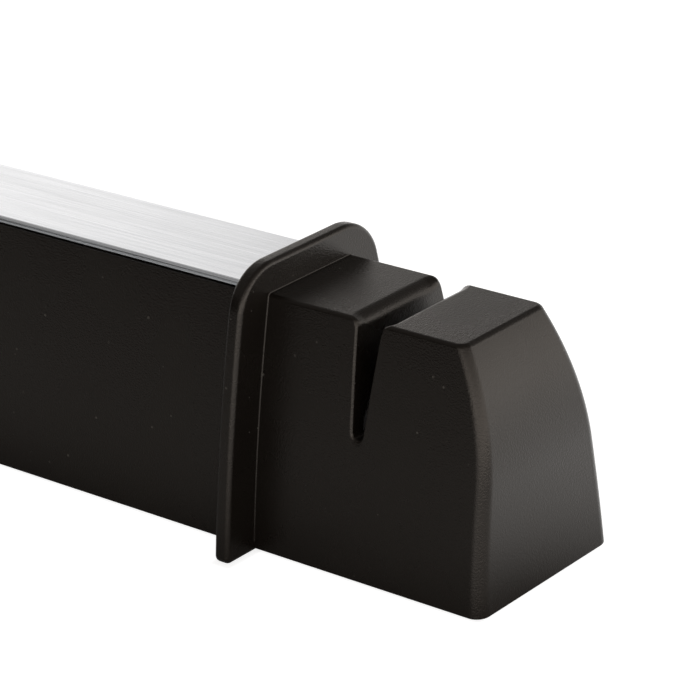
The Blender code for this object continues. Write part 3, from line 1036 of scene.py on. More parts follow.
@dataclass
class Housing:
    """The black moulding of grip, guard and slotted head, and the metal plate on the grip."""

    plate: NodeBox = field(default_factory=lambda: NodeBox.of("handle_top_plate"))
    axle: NodeBox = field(default_factory=lambda: NodeBox.of("wheel_axle"))
    rim: float = 0.8
    length: float = 210.0
    width: float = 40.0
    top_width: float = 24.2
    height: float = 48.38
    side_bulge: float = 0.75
    end_inset: float = 8.1
    end_draft: float = 1.24
    end_straight: float = 22.7
    corner_bottom: float = 2.8
    corner_top: float = 2.0
    square_corner: float = 0.3
    top_edge: float = 0.7
    bottom_edge: float = 0.4
    wall: float = 2.4
    guard_distance: float = 52.6
    guard_thickness: float = 3.4
    guard_wing: float = 7.6
    guard_height: float = 54.4
    guard_drop: float = 0.6
    guard_foot: float = 1.3
    guard_corner: float = 10.0
    guard_corner_start: float = math.radians(13.0)
    guard_edge: float = 1.0
    fillet: float = 0.25
    slot_distance: float = 29.7
    slot_bottom: float = 26.5
    slot_round: float = 1.18
    steep_slope: float = 0.045
    lean_slope: float = 0.108
    slot_wall: float = 2.0
    side_lip: float = 0.6
    top_lip: float = 2.8
    lip_change: float = 2.0
    lip_end: float = math.radians(74.0)
    lip_shares: tuple[float, ...] = (0.0, 0.05, 0.1, 0.17, 0.25, 0.34, 0.44, 0.56, 0.7, 0.85, 1.02, 1.4)
    lip_margins: tuple[float, ...] = (-1.0, -0.3, -0.1)
    lip_inner: tuple[float, ...] = (2.0, 2.8, 3.7, 4.8)
    plate_rise: float = 0.7
    plate_inset: float = 0.7
    plate_edge: float = 0.6
    plate_thickness: float = 1.0
    plate_gap: float = 0.3
    plate_shoulder: float = 1.0
    tab_size: tuple[float, float, float] = (8.0, 1.0, 4.4)
    tab_offset: float = 8.0
    tab_places: tuple[float, ...] = (-75.0, 25.0)
    pocket_wall: float = 1.6
    ledge: float = 2.9
    boss_radius: float = 3.5
    pilot_radius: float = 1.7
    pilot_top: float = 12.6
    window_radius: float = 13.6
    window_half_length: float = 7.0
    rib_thickness: float = 1.6
    rib_bottom: float = 20.0
    ribs: tuple[float, ...] = (-48.0, 12.0)
    collar_turns: tuple[float, ...] = (12.0, 28.0, 46.0, 66.0, 86.0)
    collar_run: float = 1.2
    collar_sink: float = 0.06
    boss_bottom: float = 0.5
    level_step: float = 1.1
    slot_step: float = 2.5
    cavity_step: float = 4.0
    edge_steps: int = 6
    corner_steps: int = 10
    cavity_corner_steps: int = 4
    guard_foot_steps: int = 8
    guard_corner_steps: int = 20
    slot_round_steps: int = 14
    boss_sides: int = 32
    window_sides: int = 96
    margin: float = 1.0
    over: float = 60.0
    seat_start: float = -180.0

    @property
    def half_length(self) -> float:
        """Half the housing's length."""
        return self.length / 2

    @property
    def slot_x(self) -> float:
        """Where the slot's middle lies."""
        return self.half_length - self.slot_distance

    @property
    def guard_front(self) -> float:
        """The guard's face towards the head."""
        return self.half_length - self.guard_distance

    @property
    def guard_rear(self) -> float:
        """The guard's face towards the grip."""
        return self.guard_front - self.guard_thickness

    @property
    def plate_top(self) -> float:
        """The height of the plate's top over the rim."""
        return self.height + self.plate_rise

    @property
    def grip_top(self) -> float:
        """The height of the plate's seat over the rim."""
        return self.plate_top - self.plate_thickness - self.plate_gap

    @property
    def seat_end(self) -> float:
        """Where the plate's seat ends, short of the guard."""
        return self.guard_rear - self.plate_shoulder

    @property
    def bosses(self) -> list[float]:
        """Where the screw pillars stand, from the screws in the frame."""
        return [NodeBox.of(f"base_screw_{i}").centre.x for i in range(1, 5)]

    def half_width(self, height: float) -> float:
        """Half the width at a height: a taper with a slight bulge.

        Args:
            height: The height over the rim.

        Returns:
            The half width.
        """
        share = height / self.height
        taper = (self.width - self.top_width) / 2
        return self.width / 2 - taper * share + 4 * self.side_bulge * share * (1 - share)

    def inset(self, height: float) -> float:
        """How far an end has come in: a drafted straight, then an arc to the top.

        Args:
            height: The height over the rim.

        Returns:
            The distance from the end's lowest point.
        """
        rise = self.height - self.end_straight
        depth = self.end_inset - self.end_draft
        radius = (rise**2 + depth**2) / (2 * depth)
        above = max(0.0, height - self.end_straight)
        return self.end_draft * height / self.height + radius - math.sqrt(radius**2 - above**2)

    def level(
        self, height: float, inset: float = 0.0, low_x: float | None = None, high_x: float | None = None
    ) -> Level:
        """The housing's outline at a height.

        Args:
            height: The height over the rim.
            inset: How far the outline is brought in all round.
            low_x: Where it is cut off square towards the grip, if it is.
            high_x: Where it is cut off square towards the head, if it is.

        Returns:
            The outline.
        """
        share = height / self.height
        corner = self.corner_bottom + (self.corner_top - self.corner_bottom) * share
        corner = max(corner - inset, self.square_corner)
        reach = self.half_length - self.inset(height) - inset
        return Level(
            z=self.rim + height,
            low_x=-reach if low_x is None else low_x,
            high_x=reach if high_x is None else high_x,
            half_width=self.half_width(height) - inset,
            low_radius=corner if low_x is None else self.square_corner,
            high_radius=corner if high_x is None else self.square_corner,
        )

    def stack(self, low: float, high: float, step: float) -> list[Point]:
        """Even steps up the side.

        Args:
            low: The first height over the rim.
            high: The last height.
            step: The largest distance between two levels.

        Returns:
            Pairs of a height and an inset, which is zero.
        """
        count = max(1, math.ceil((high - low) / step))
        return [(low + (high - low) * i / count, 0.0) for i in range(count + 1)]

    def rounding(self, top: float, radius: float) -> list[Point]:
        """Steps over a rounded top edge, after its lowest one.

        Args:
            top: The height of the flat top.
            radius: The rounding's radius.

        Returns:
            Pairs of a height and an inset.
        """
        angles = [math.pi / 2 * i / self.edge_steps for i in range(1, self.edge_steps + 1)]
        return [(top - radius * (1 - math.sin(a)), radius * (1 - math.cos(a))) for a in angles]

    def skin(self) -> BMesh:
        """The outside of grip and head, before anything is cut away.

        Returns:
            The solid.
        """
        edge = self.bottom_edge
        foot = [(edge - height, inset) for height, inset in reversed(self.rounding(edge, edge))]
        sides = self.stack(self.bottom_edge, self.height - self.top_edge, self.level_step)
        steps = foot + sides + self.rounding(self.height, self.top_edge)
        return swept([self.level(height, inset).ring(self.corner_steps) for height, inset in steps])

    def guard(self) -> BMesh:
        """The guard, a flange with sides that follow the taper, and rounded rims.

        Returns:
            The solid.
        """
        start = self.guard_corner_start
        corner_height = self.guard_height - self.guard_corner
        side_top = corner_height + self.guard_corner * math.sin(start)
        reach = self.half_width(side_top) + self.guard_wing - self.guard_corner * math.cos(start)
        foot_top = self.guard_foot - self.guard_drop
        foot_reach = self.half_width(foot_top) + self.guard_wing - self.guard_foot
        foot_centre = (foot_reach, self.rim + foot_top)
        side = arc(foot_centre, self.guard_foot, -math.pi / 2, 0.0, self.guard_foot_steps)
        steps = self.stack(foot_top, side_top, 2 * self.level_step)[1:-1]
        side += [(self.half_width(height) + self.guard_wing, self.rim + height) for height, _ in steps]
        centre = (reach, self.rim + corner_height)
        side += arc(centre, self.guard_corner, start, math.pi / 2, self.guard_corner_steps)
        outline = side + [(-y, z) for y, z in reversed(side)]
        bm = pushed_outline(outline, Axis.X, self.guard_rear, self.guard_front)
        flats = [face for face in bm.faces if abs(face.normal.x) > 0.5]
        bevel(bm, {edge for face in flats for edge in face.edges}, self.guard_edge, self.edge_steps)
        return bm

    def section(self, x: float, growth: float) -> list[Vector]:
        """The housing's cross section, grown outwards.

        Args:
            x: Where it lies.
            growth: How far it is grown.

        Returns:
            Points up the back, over the top and down the front.
        """
        steps = self.stack(self.bottom_edge, self.height - self.top_edge, self.level_step)[1:]
        points = [(self.half_width(height) + growth, self.rim + height) for height, _ in steps]
        for height, inset in self.rounding(self.height, self.top_edge):
            turn = math.acos(1 - inset / self.top_edge)
            y = self.half_width(height) - inset + growth * math.cos(turn)
            points.append((y, self.rim + height + growth * math.sin(turn)))
        points += [(-y, z) for y, z in reversed(points)]
        return [Vector((x, y, z)) for y, z in points]

    def collar(self) -> BMesh:
        """The fillet between the guard and the housing, all the way over the top.

        Returns:
            The solid, which reaches through the guard.
        """
        turns = [math.radians(angle) for angle in self.collar_turns]
        steps = [(self.fillet * (1 - math.cos(a)), self.fillet * (1 - math.sin(a))) for a in turns]
        growths = [(self.fillet * self.collar_run, -self.collar_sink)] + steps[::-1]
        rings = [self.section(self.guard_rear - reach, rise) for reach, rise in growths]
        rings += [self.section(self.guard_front + reach, rise) for reach, rise in reversed(growths)]
        return swept(rings)

    def slot_reach(self, height: float, slope: float) -> float:
        """How far a wall of the slot stands from the slot's middle.

        Args:
            height: The height over the rim.
            slope: The wall's lean.

        Returns:
            The distance.
        """
        return self.slot_round + slope * (height - self.slot_bottom - self.slot_round)

    def depth(self, y: float, height: float) -> float:
        """How deep a point lies under the head's skin, which is round along its top edges.

        Args:
            y: Its place across the head.
            height: Its height over the rim.

        Returns:
            The depth, below zero outside.
        """
        aside = self.half_width(height) - abs(y)
        below = self.height - height
        if max(aside, below) < self.top_edge:
            return self.top_edge - math.hypot(self.top_edge - aside, self.top_edge - below)
        return min(aside, below)

    def lip(self, y: float, height: float) -> float:
        """The radius of the slot's lip, which is larger on the top than on the front and back.

        Args:
            y: A place across the head.
            height: Its height over the rim.

        Returns:
            The radius for that place.
        """
        aside = self.half_width(height) - abs(y)
        below = self.height - height
        share = min(max(0.5 + (aside - below) / (2 * self.lip_change), 0.0), 1.0)
        return self.side_lip + (self.top_lip - self.side_lip) * share * share * (3 - 2 * share)

    def flare(self, y: float, height: float) -> float:
        """How far the slot's wall gives way under the skin, so that its lip is round.

        Args:
            y: A place across the head.
            height: Its height over the rim.

        Returns:
            The distance from the plain wall.
        """
        depth = self.depth(y, height)
        lip = self.lip(y, height)
        if depth >= lip:
            return 0.0
        under = max(depth, lip * (1 - math.sin(self.lip_end)))
        give = lip - math.sqrt(lip**2 - (lip - under) ** 2)
        return give + (under - depth) * math.tan(self.lip_end)

    def lip_depths(self, radius: float) -> list[float]:
        """Depths from outside the skin to the foot of a lip, close together where it turns most."""
        return [*self.lip_margins, *(share * radius for share in self.lip_shares)]

    def slot_profile(self) -> list[tuple[Vector, Vector]]:
        """The slot's profile, down its steep wall, round its bottom and up its leaning wall.

        Returns:
            Points and outward directions in the X-Z plane, with heights over the rim.
        """
        bend = self.slot_bottom + self.slot_round
        heights = [self.height - depth for depth in self.lip_depths(self.top_lip)]
        heights += [h for h, _ in self.stack(bend, heights[-1], self.slot_step)][-2:0:-1]
        walls = []
        for sign, slope in ((-1, self.steep_slope), (1, self.lean_slope)):
            out = Vector((sign, 0.0, 0.0))
            walls.append(
                [(Vector((self.slot_x + sign * self.slot_reach(h, slope), 0.0, h)), out) for h in heights]
            )
        count = self.slot_round_steps
        angles = [math.pi + math.pi * i / count for i in range(count + 1)]
        round_out = [Vector((math.cos(a), 0.0, math.sin(a))) for a in angles]
        middle = Vector((self.slot_x, 0.0, bend))
        bottom = [(middle + out * self.slot_round, out) for out in round_out]
        return walls[0] + bottom + walls[1][::-1]

    def slot_tool(self) -> BMesh:
        """The slot's space, with lips that round over on the front, the back and the top.

        Returns:
            The solid to cut with.
        """
        profile = self.slot_profile()
        inward = [*self.lip_depths(self.side_lip), *self.lip_inner]
        rings = []
        for sign, depths in ((-1, inward), (1, inward[::-1])):
            for depth in depths:
                ring = []
                for place, out in profile:
                    y = sign * (self.half_width(place.z) - depth)
                    spot = place + out * self.flare(y, place.z)
                    ring.append(Vector((spot.x, y, self.rim + spot.z)))
                rings.append(ring)
        return swept(rings)

    def slot_walls(self) -> BMesh:
        """The slot's walls and floor, which stand in the head's cavity.

        Returns:
            The solid, with the slot's own space still filled.
        """
        low, high = self.slot_bottom - self.slot_wall, self.height + self.margin
        walls = ((-1, self.steep_slope, (high, low)), (1, self.lean_slope, (low, high)))
        outline = []
        for sign, slope, heights in walls:
            for height in heights:
                x = self.slot_x + sign * (self.slot_reach(height, slope) + self.slot_wall)
                outline.append((x, self.rim + height))
        return pushed_outline(outline, Axis.Y, -self.width, self.width)

    def cavity(self, top: float, kept: Iterable[BMesh], **ends: float) -> BMesh:
        """The hollow on one side of the guard.

        Args:
            top: Its height over the rim.
            kept: What is left standing in it.
            ends: Where it is cut off square, as Housing.level takes it.

        Returns:
            The hollow's space.
        """
        steps = self.stack(self.ledge - self.margin, top, self.cavity_step)
        levels = [self.level(height, self.wall, **ends) for height, _ in steps]
        hollow = swept([level.ring(self.cavity_corner_steps) for level in levels])
        return carve(hollow, *[(Carving.CUT, item) for item in kept])

    def pillars(self, radius: float, top: float) -> BMesh:
        """Upright bars at the screws' places.

        Args:
            radius: Their radius.
            top: Where they end.

        Returns:
            The bars.
        """
        places = [Vector((x, 0.0, 0.0)) for x in self.bosses]
        low, sides = self.boss_bottom, self.boss_sides
        return together(*[rod(low, top, radius, Axis.Z, place, sides) for place in places])

    def rib_bars(self) -> BMesh:
        """Cross ribs under the grip's top.

        Returns:
            The ribs as blocks that reach past the walls.
        """
        half = self.rib_thickness / 2
        bottom = self.rim + self.rib_bottom
        bars = [block((x - half, -self.width, bottom), (x + half, self.width, self.over)) for x in self.ribs]
        return together(*bars)

    def tabs(self, clearance: float, bottom: float) -> BMesh:
        """The plate's tabs, or with a clearance the slots that they go through.

        Args:
            clearance: How much wider they are all round.
            bottom: The height over the rim where they start.

        Returns:
            The blocks.
        """
        length, thickness = self.tab_size[0] / 2 + clearance, self.tab_size[1] / 2 + clearance
        low = Vector((-length, -thickness, self.rim + bottom))
        high = Vector((length, thickness, self.rim + self.plate_top - self.plate_thickness / 2))
        places = [Vector((x, sign * self.tab_offset, 0.0)) for x in self.tab_places for sign in (1, -1)]
        return together(*[block(low + place, high + place) for place in places])

    def build_shell(self) -> BMesh:
        """The whole moulding, hollow and open underneath.

        Returns:
            Its mesh in millimetres.
        """
        bosses = [self.pillars(self.boss_radius, self.over) for _ in range(2)]
        head = self.cavity(self.height - self.wall, [self.slot_walls(), bosses[0]], low_x=self.guard_front)
        grip = self.cavity(self.grip_top - self.wall, [self.rib_bars(), bosses[1]], high_x=self.guard_rear)
        edge = self.level(0.0, self.pocket_wall)
        heights = (-self.margin, self.rim + self.ledge)
        pocket = swept([replace(edge, z=z).ring(self.corner_steps) for z in heights])
        half = self.window_half_length
        window = rod(-half, half, self.window_radius, Axis.X, self.axle.centre, self.window_sides)
        seat = block(
            (self.seat_start, -self.width, self.rim + self.grip_top),
            (self.seat_end, self.width, self.height + self.over),
        )
        return carve(
            self.skin(),
            (Carving.ADD, self.collar()),
            (Carving.ADD, self.guard()),
            (Carving.CUT, pocket),
            (Carving.CUT, head),
            (Carving.CUT, grip),
            (Carving.CUT, self.slot_tool()),
            (Carving.CUT, window),
            (Carving.CUT, seat),
            (Carving.CUT, self.pillars(self.pilot_radius, self.pilot_top)),
            (Carving.CUT, self.tabs(self.plate_gap, self.grip_top - self.wall - self.margin)),
        )

    def build_plate(self) -> BMesh:
        """The metal plate over the grip, with rounded edges and tabs below.

        Returns:
            Its mesh in millimetres.
        """
        steps = [(self.plate_top - self.plate_thickness, 0.0), (self.plate_top - self.plate_edge, 0.0)]
        steps += self.rounding(self.plate_top, self.plate_edge)
        end = self.plate.high.x
        levels = [self.level(height, self.plate_inset + inset, high_x=end) for height, inset in steps]
        rings = [level.ring(self.corner_steps) for level in levels]
        return carve(swept(rings), (Carving.ADD, self.tabs(0.0, self.grip_top - self.tab_size[2])))

    def build(self) -> None:
        """Makes and dresses both pieces."""
        shell = Piece("housing_moulding", Body.HOUSING, "black_plastic", "body_shell")
        shell.finish(self.build_shell(), BLACK_PLASTIC)
        plate = Piece("grip_plate", Body.HOUSING, "satin_steel", "handle_top_plate")
        plate.finish(self.build_plate(), SATIN_STEEL)


@dataclass
class Underside:
    """What closes the housing from below: base plate, rubber feet and screws."""

    housing: Housing
    base: NodeBox = field(default_factory=lambda: NodeBox.of("base_plate"))
    gap: float = 0.3
    plate_edge: float = 0.35
    foot_edge: float = 0.5
    foot_recess: float = 1.2
    foot_chamfer: float = 0.15
    groove: tuple[float, float, float] = (2.6, 3.3, 0.3)
    groove_flank: float = 0.15
    neck: float = 1.4
    head_rim: float = 0.3
    head_chamfer: float = 0.12
    hole_radius: float = 1.7
    hole_mouth: float = 0.25
    drive_length: float = 3.0
    drive_width: float = 0.75
    drive_mouth: tuple[float, float, float] = (-0.4, 1.08, 1.2)
    drive_tip: tuple[float, float, float] = (0.9, 0.55, 0.7)
    edge_share: float = 0.3
    margin: float = 1.0
    hole_sides: int = 40
    recess_sides: int = 56
    foot_sides: int = 72
    foot_edge_steps: int = 5
    screw_sides: int = 48
    foot_names: tuple[str, ...] = tuple(f"rubber_foot_{i}" for i in range(1, 5))
    screw_names: tuple[str, ...] = (
        *(f"base_screw_{i}" for i in range(1, 5)),
        *(f"cradle_screw_{i}" for i in range(1, 3)),
    )

    def hole(self, screw: NodeBox) -> BMesh:
        """The countersunk hole of a screw.

        Args:
            screw: The screw's box.

        Returns:
            The hole's space.
        """
        head = screw.size.x / 2 + self.gap
        seat = screw.low.z
        top = self.base.high.z + self.margin
        profile = [
            (0.0, 0.0),
            (0.0, head + self.hole_mouth),
            (self.base.low.z, head + self.hole_mouth),
            (self.base.low.z + self.hole_mouth, head),
            (seat, head),
            (seat + head - self.hole_radius, self.hole_radius),
            (top, self.hole_radius),
            (top, 0.0),
        ]
        place = Vector((screw.centre.x, screw.centre.y, 0.0))
        return turned(profile, Axis.Z, place, self.hole_sides)

    def recess(self, foot: NodeBox) -> BMesh:
        """The round pocket that a foot is glued into.

        Args:
            foot: The foot's box.

        Returns:
            The pocket's space.
        """
        place = Vector((foot.centre.x, foot.centre.y, 0.0))
        radius = foot.size.x / 2 + self.gap
        return rod(0.0, self.base.low.z + self.foot_recess, radius, Axis.Z, place, self.recess_sides)

    def base_plate(self) -> BMesh:
        """The plate, with a rounded lower edge, foot pockets and countersunk holes.

        Returns:
            Its mesh in millimetres.
        """
        outline = self.housing.level(0.0, self.housing.pocket_wall + self.gap)
        low, edge, bend = self.base.low.z, self.plate_edge, self.plate_edge * self.edge_share
        steps = [(low, edge), (low + bend, bend), (low + edge, 0.0), (self.base.high.z, 0.0)]
        rings = []
        for z, inset in steps:
            level = replace(
                outline,
                z=z,
                low_x=outline.low_x + inset,
                high_x=outline.high_x - inset,
                half_width=outline.half_width - inset,
            )
            rings.append(level.ring(self.housing.corner_steps))
        holes = [self.hole(NodeBox.of(name)) for name in self.screw_names]
        pockets = [self.recess(NodeBox.of(name)) for name in self.foot_names]
        return carve(swept(rings), *[(Carving.CUT, tool) for tool in holes + pockets])

    def foot(self, box: NodeBox) -> BMesh:
        """A round foot with a rounded edge and a ring groove in its sole.

        Args:
            box: The foot's box.

        Returns:
            Its mesh in millimetres.
        """
        radius, edge, top = box.size.x / 2, self.foot_edge, box.size.z
        inner, outer, depth = self.groove
        flank, chamfer = self.groove_flank, self.foot_chamfer
        profile = [(0.0, 0.0), (0.0, inner), (depth, inner + flank), (depth, outer - flank), (0.0, outer)]
        profile += arc((edge, radius - edge), edge, math.pi, math.pi / 2, self.foot_edge_steps)
        profile += [(top - chamfer, radius), (top, radius - chamfer), (top, 0.0)]
        place = Vector((box.centre.x, box.centre.y, box.low.z))
        return turned(profile, Axis.Z, place, self.foot_sides)

    def drive(self) -> list[BMesh]:
        """The two tapered arms of a cross recess.

        Returns:
            The arms, to cut with.
        """
        corners = ((1, 1), (-1, 1), (-1, -1), (1, -1))
        arms = []
        for axis in (Axis.X, Axis.Y):
            rings = []
            for z, length, width in (self.drive_mouth, self.drive_tip):
                half = Vector((self.drive_length * length / 2, self.drive_width * width / 2))
                if axis is Axis.Y:
                    half = half.yx
                rings.append([Vector((half.x * x, half.y * y, z)) for x, y in corners])
            arms.append(swept(rings))
        return arms

    def screw(self, box: NodeBox) -> BMesh:
        """A countersunk screw with its head down.

        Args:
            box: The screw's box.

        Returns:
            Its mesh in millimetres.
        """
        head = box.size.x / 2
        shank = head - self.neck
        length = box.size.z
        profile = [
            (0.0, 0.0),
            (0.0, head - self.head_chamfer),
            (self.head_chamfer, head),
            (self.head_rim, head),
            (self.neck + self.head_rim, shank),
            (length - shank, shank),
            (length, 0.0),
        ]
        plain = turned(profile, Axis.Z, Vector(), self.screw_sides)
        bm = carve(plain, *[(Carving.CUT, arm) for arm in self.drive()])
        bmesh.ops.translate(bm, vec=Vector((box.centre.x, box.centre.y, box.low.z)), verts=bm.verts)
        return bm

    def build(self) -> None:
        """Makes and dresses the base plate, the feet and the screws."""
        plate = Piece("base_cover", Body.HOUSING, "base_plastic", "base_plate")
        plate.finish(self.base_plate(), BASE_PLASTIC)
        for name in self.foot_names:
            piece = Piece(f"{name}_sole", Body.HOUSING, "foot_rubber", name)
            piece.finish(self.foot(NodeBox.of(name)), FOOT_RUBBER)
        for name in self.screw_names:
            piece = Piece(f"{name}_cross", Body.HOUSING, "screw_zinc", name)
            piece.finish(self.screw(NodeBox.of(name)), SCREW_ZINC)


@dataclass
class WheelSet:
    """Two abrasive wheels with their bushes, washers and clips on one axle."""

    axle: NodeBox = field(default_factory=lambda: NodeBox.of("wheel_axle"))
    groove_root: float = 9.6
    groove_angle: float = math.radians(17.0)
    edge: float = 0.4
    wheel_bore: float = 3.9
    bush_bore: float = 2.15
    dish_depth: float = 0.8
    dish_inner: float = 5.2
    dish_outer: float = 11.0
    clip_groove: float = 1.5
    clip_play: float = 0.15
    clip_mouth: float = math.radians(70.0)
    end_chamfer: float = 0.4
    wheel_bevel: float = 0.14
    bush_bevel: float = 0.2
    washer_bevel: float = 0.1
    clip_bevel: float = 0.1
    clip_turn: float = math.radians(50.0)
    bevel_steps: int = 2
    wheel_sides: int = 128
    sleeve_sides: int = 80
    clip_steps: int = 56
    pin_sides: int = 64

    def span(self, node: str) -> tuple[float, float, float]:
        """Where a round part lies on the axle.

        Args:
            node: Its node.

        Returns:
            Its lower and upper end from the axle's middle, and its radius.
        """
        box = NodeBox.of(node)
        middle = self.axle.centre.x
        return box.low.x - middle, box.high.x - middle, box.size.y / 2

    def wheel(self, side: Side) -> BMesh:
        """A dished wheel, bevelled on the face that looks at the other wheel.

        Args:
            side: Which wheel.

        Returns:
            Its mesh in millimetres.
        """
        low, high, rim = self.span(f"{side.label}_wheel")
        near, far = sorted((abs(low), abs(high)))
        reach = (rim - self.groove_root) * math.tan(self.groove_angle)
        dish = far - self.dish_depth
        profile = [
            (near, self.wheel_bore),
            (near, self.groove_root),
            (near + reach, rim),
            (far - self.edge, rim),
            (far, rim - self.edge),
            (far, self.dish_outer),
            (dish, self.dish_outer - self.dish_depth),
            (dish, self.dish_inner + self.dish_depth),
            (far, self.dish_inner),
            (far, self.wheel_bore),
        ]
        mirrored = [(side.value * along, radius) for along, radius in profile]
        bm = turned(mirrored, Axis.X, self.axle.centre, self.wheel_sides)
        bevel(bm, sharp_edges(bm), self.wheel_bevel, self.bevel_steps)
        return bm

    def sleeve(self, node: str, chamfer: float) -> BMesh:
        """A bush or a washer.

        Args:
            node: The node it stands for.
            chamfer: How much its edges are broken.

        Returns:
            Its mesh in millimetres.
        """
        low, high, radius = self.span(node)
        profile = [(low, self.bush_bore), (low, radius), (high, radius), (high, self.bush_bore)]
        bm = turned(profile, Axis.X, self.axle.centre, self.sleeve_sides)
        bevel(bm, sharp_edges(bm), chamfer, self.bevel_steps)
        return bm

    def clip(self, side: Side) -> BMesh:
        """A flat spring clip with its mouth below.

        Args:
            side: Which clip.

        Returns:
            Its mesh in millimetres.
        """
        low, high, radius = self.span(f"{side.label}_axle_clip")
        middle = self.axle.centre
        start = self.clip_mouth / 2 - math.pi / 2
        end = start + math.tau - self.clip_mouth
        centre = (middle.y, middle.z)
        outline = arc(centre, radius, start, end, self.clip_steps)
        outline += arc(centre, self.clip_groove + self.clip_play, end, start, self.clip_steps)
        bm = pushed_outline(outline, Axis.X, middle.x + low, middle.x + high)
        bevel(bm, sharp_edges(bm, self.clip_turn), self.clip_bevel, self.bevel_steps)
        return bm

    def pin(self) -> BMesh:
        """The axle, with a groove for a clip near each end and chamfered ends.

        Returns:
            Its mesh in millimetres.
        """
        radius, half = self.axle.size.y / 2, self.axle.size.x / 2
        low, high, _ = self.span("right_axle_clip")
        side = [
            (low - self.clip_play, radius),
            (low - self.clip_play, self.clip_groove),
            (high + self.clip_play, self.clip_groove),
            (high + self.clip_play, radius),
            (half - self.end_chamfer, radius),
            (half, radius - self.end_chamfer),
            (half, 0.0),
        ]
        profile = [(-along, away) for along, away in reversed(side)] + side
        return turned(profile, Axis.X, self.axle.centre, self.pin_sides)

    def build(self) -> None:
        """Makes and dresses all that is on the axle."""
        rim = NodeBox.of("left_wheel").size.y / 2
        ceramic = AbrasiveCeramic("wheel_ceramic_abrasive", self.axle.centre, self.groove_root, rim)
        pin = Piece("wheel_pin", Body.HOUSING, "pin_steel", "wheel_axle")
        pin.finish(self.pin(), PIN_STEEL)
        for side, body in ((Side.LEFT, Body.LEFT_ROLLER), (Side.RIGHT, Body.RIGHT_ROLLER)):
            name = side.label
            wheel = Piece(f"{name}_abrasive_wheel", body, "wheel_ceramic", f"{name}_wheel")
            wheel.finish(self.wheel(side), ceramic)
            bush = Piece(f"{name}_bush_sleeve", body, "bush_nylon", f"{name}_wheel_bush")
            bush.finish(self.sleeve(bush.node, self.bush_bevel), BUSH_NYLON)
            washer = Piece(f"{name}_washer", Body.HOUSING, "pin_steel", f"{name}_thrust_washer")
            washer.finish(self.sleeve(washer.node, self.washer_bevel), PIN_STEEL)
            clip = Piece(f"{name}_spring_clip", Body.HOUSING, "pin_steel", f"{name}_axle_clip")
            clip.finish(self.clip(side), PIN_STEEL)


@dataclass
class Cradle:
    """The bracket on the base plate that holds the axle between two cheeks."""

    box: NodeBox = field(default_factory=lambda: NodeBox.of("wheel_cradle"))
    axle: NodeBox = field(default_factory=lambda: NodeBox.of("wheel_axle"))
    washer: NodeBox = field(default_factory=lambda: NodeBox.of("right_thrust_washer"))
    clip: NodeBox = field(default_factory=lambda: NodeBox.of("right_axle_clip"))
    floor: float = 2.5
    corner: float = 2.0
    gap: float = 0.15
    cheek_top: float = 4.6
    cheek_foot: float = 9.0
    axle_hole: float = 2.15
    pillar_radius: float = 3.5
    pillar_height: float = 9.0
    pilot_radius: float = 1.7
    edge: float = 0.3
    floor_edge: float = 0.2
    sharp_turn: float = math.radians(60.0)
    pillar_foot: float = 1.0
    margin: float = 1.0
    edge_steps: int = 3
    corner_steps: int = 8
    cheek_steps: int = 32
    pillar_sides: int = 40
    pilot_sides: int = 32
    axle_hole_sides: int = 48

    def cheek(self, side: Side) -> BMesh:
        """An upright, wide at its foot and round over the axle.

        Args:
            side: Which of the two.

        Returns:
            Its mesh in millimetres.
        """
        middle = self.axle.centre
        foot = self.box.low.z + self.floor / 2
        near = self.washer.high.x - middle.x + self.gap
        far = self.clip.low.x - middle.x - self.gap
        outline = [(self.cheek_foot, foot)]
        outline += arc((middle.y, middle.z), self.cheek_top, 0.0, math.pi, self.cheek_steps)
        outline.append((-self.cheek_foot, foot))
        start, end = (middle.x + side.value * away for away in (near, far))
        bm = pushed_outline(outline, Axis.X, start, end)
        bevel(bm, sharp_edges(bm, self.sharp_turn), self.edge, self.edge_steps)
        return bm

    def build_bracket(self) -> BMesh:
        """The floor, the cheeks and the pillars in one moulding.

        Returns:
            Its mesh in millimetres.
        """
        low, high = self.box.low, self.box.high
        level = Level(low.z, low.x, high.x, high.y, self.corner, self.corner)
        levels = (level, replace(level, z=low.z + self.floor))
        floor = swept([item.ring(self.corner_steps) for item in levels])
        bevel(floor, sharp_edges(floor, self.sharp_turn), self.floor_edge, self.edge_steps)
        screws = [NodeBox.of(f"cradle_screw_{i}").centre for i in (1, 2)]
        places = [Vector((screw.x, screw.y, low.z)) for screw in screws]
        foot, top, radius = self.pillar_foot, self.pillar_height, self.pillar_radius
        rim = [(top - self.edge, radius), (top, radius - self.edge)]
        profile = [(foot, 0.0), (foot, radius), *rim, (top, 0.0)]
        pillars = [turned(profile, Axis.Z, place, self.pillar_sides) for place in places]
        bore = (-self.margin, top + self.margin, self.pilot_radius, Axis.Z)
        pilots = [rod(*bore, place, self.pilot_sides) for place in places]
        reach = self.box.size.x
        hole = rod(-reach, reach, self.axle_hole, Axis.X, self.axle.centre, self.axle_hole_sides)
        added = [self.cheek(side) for side in Side] + pillars
        cuts = [(Carving.ADD, part) for part in added] + [(Carving.CUT, tool) for tool in [*pilots, hole]]
        return carve(floor, *cuts)

    def build(self) -> None:
        """Makes and dresses the bracket."""
        piece = Piece("wheel_bracket", Body.HOUSING, "cradle_plastic", "wheel_cradle")
        piece.finish(self.build_bracket(), CRADLE_PLASTIC)


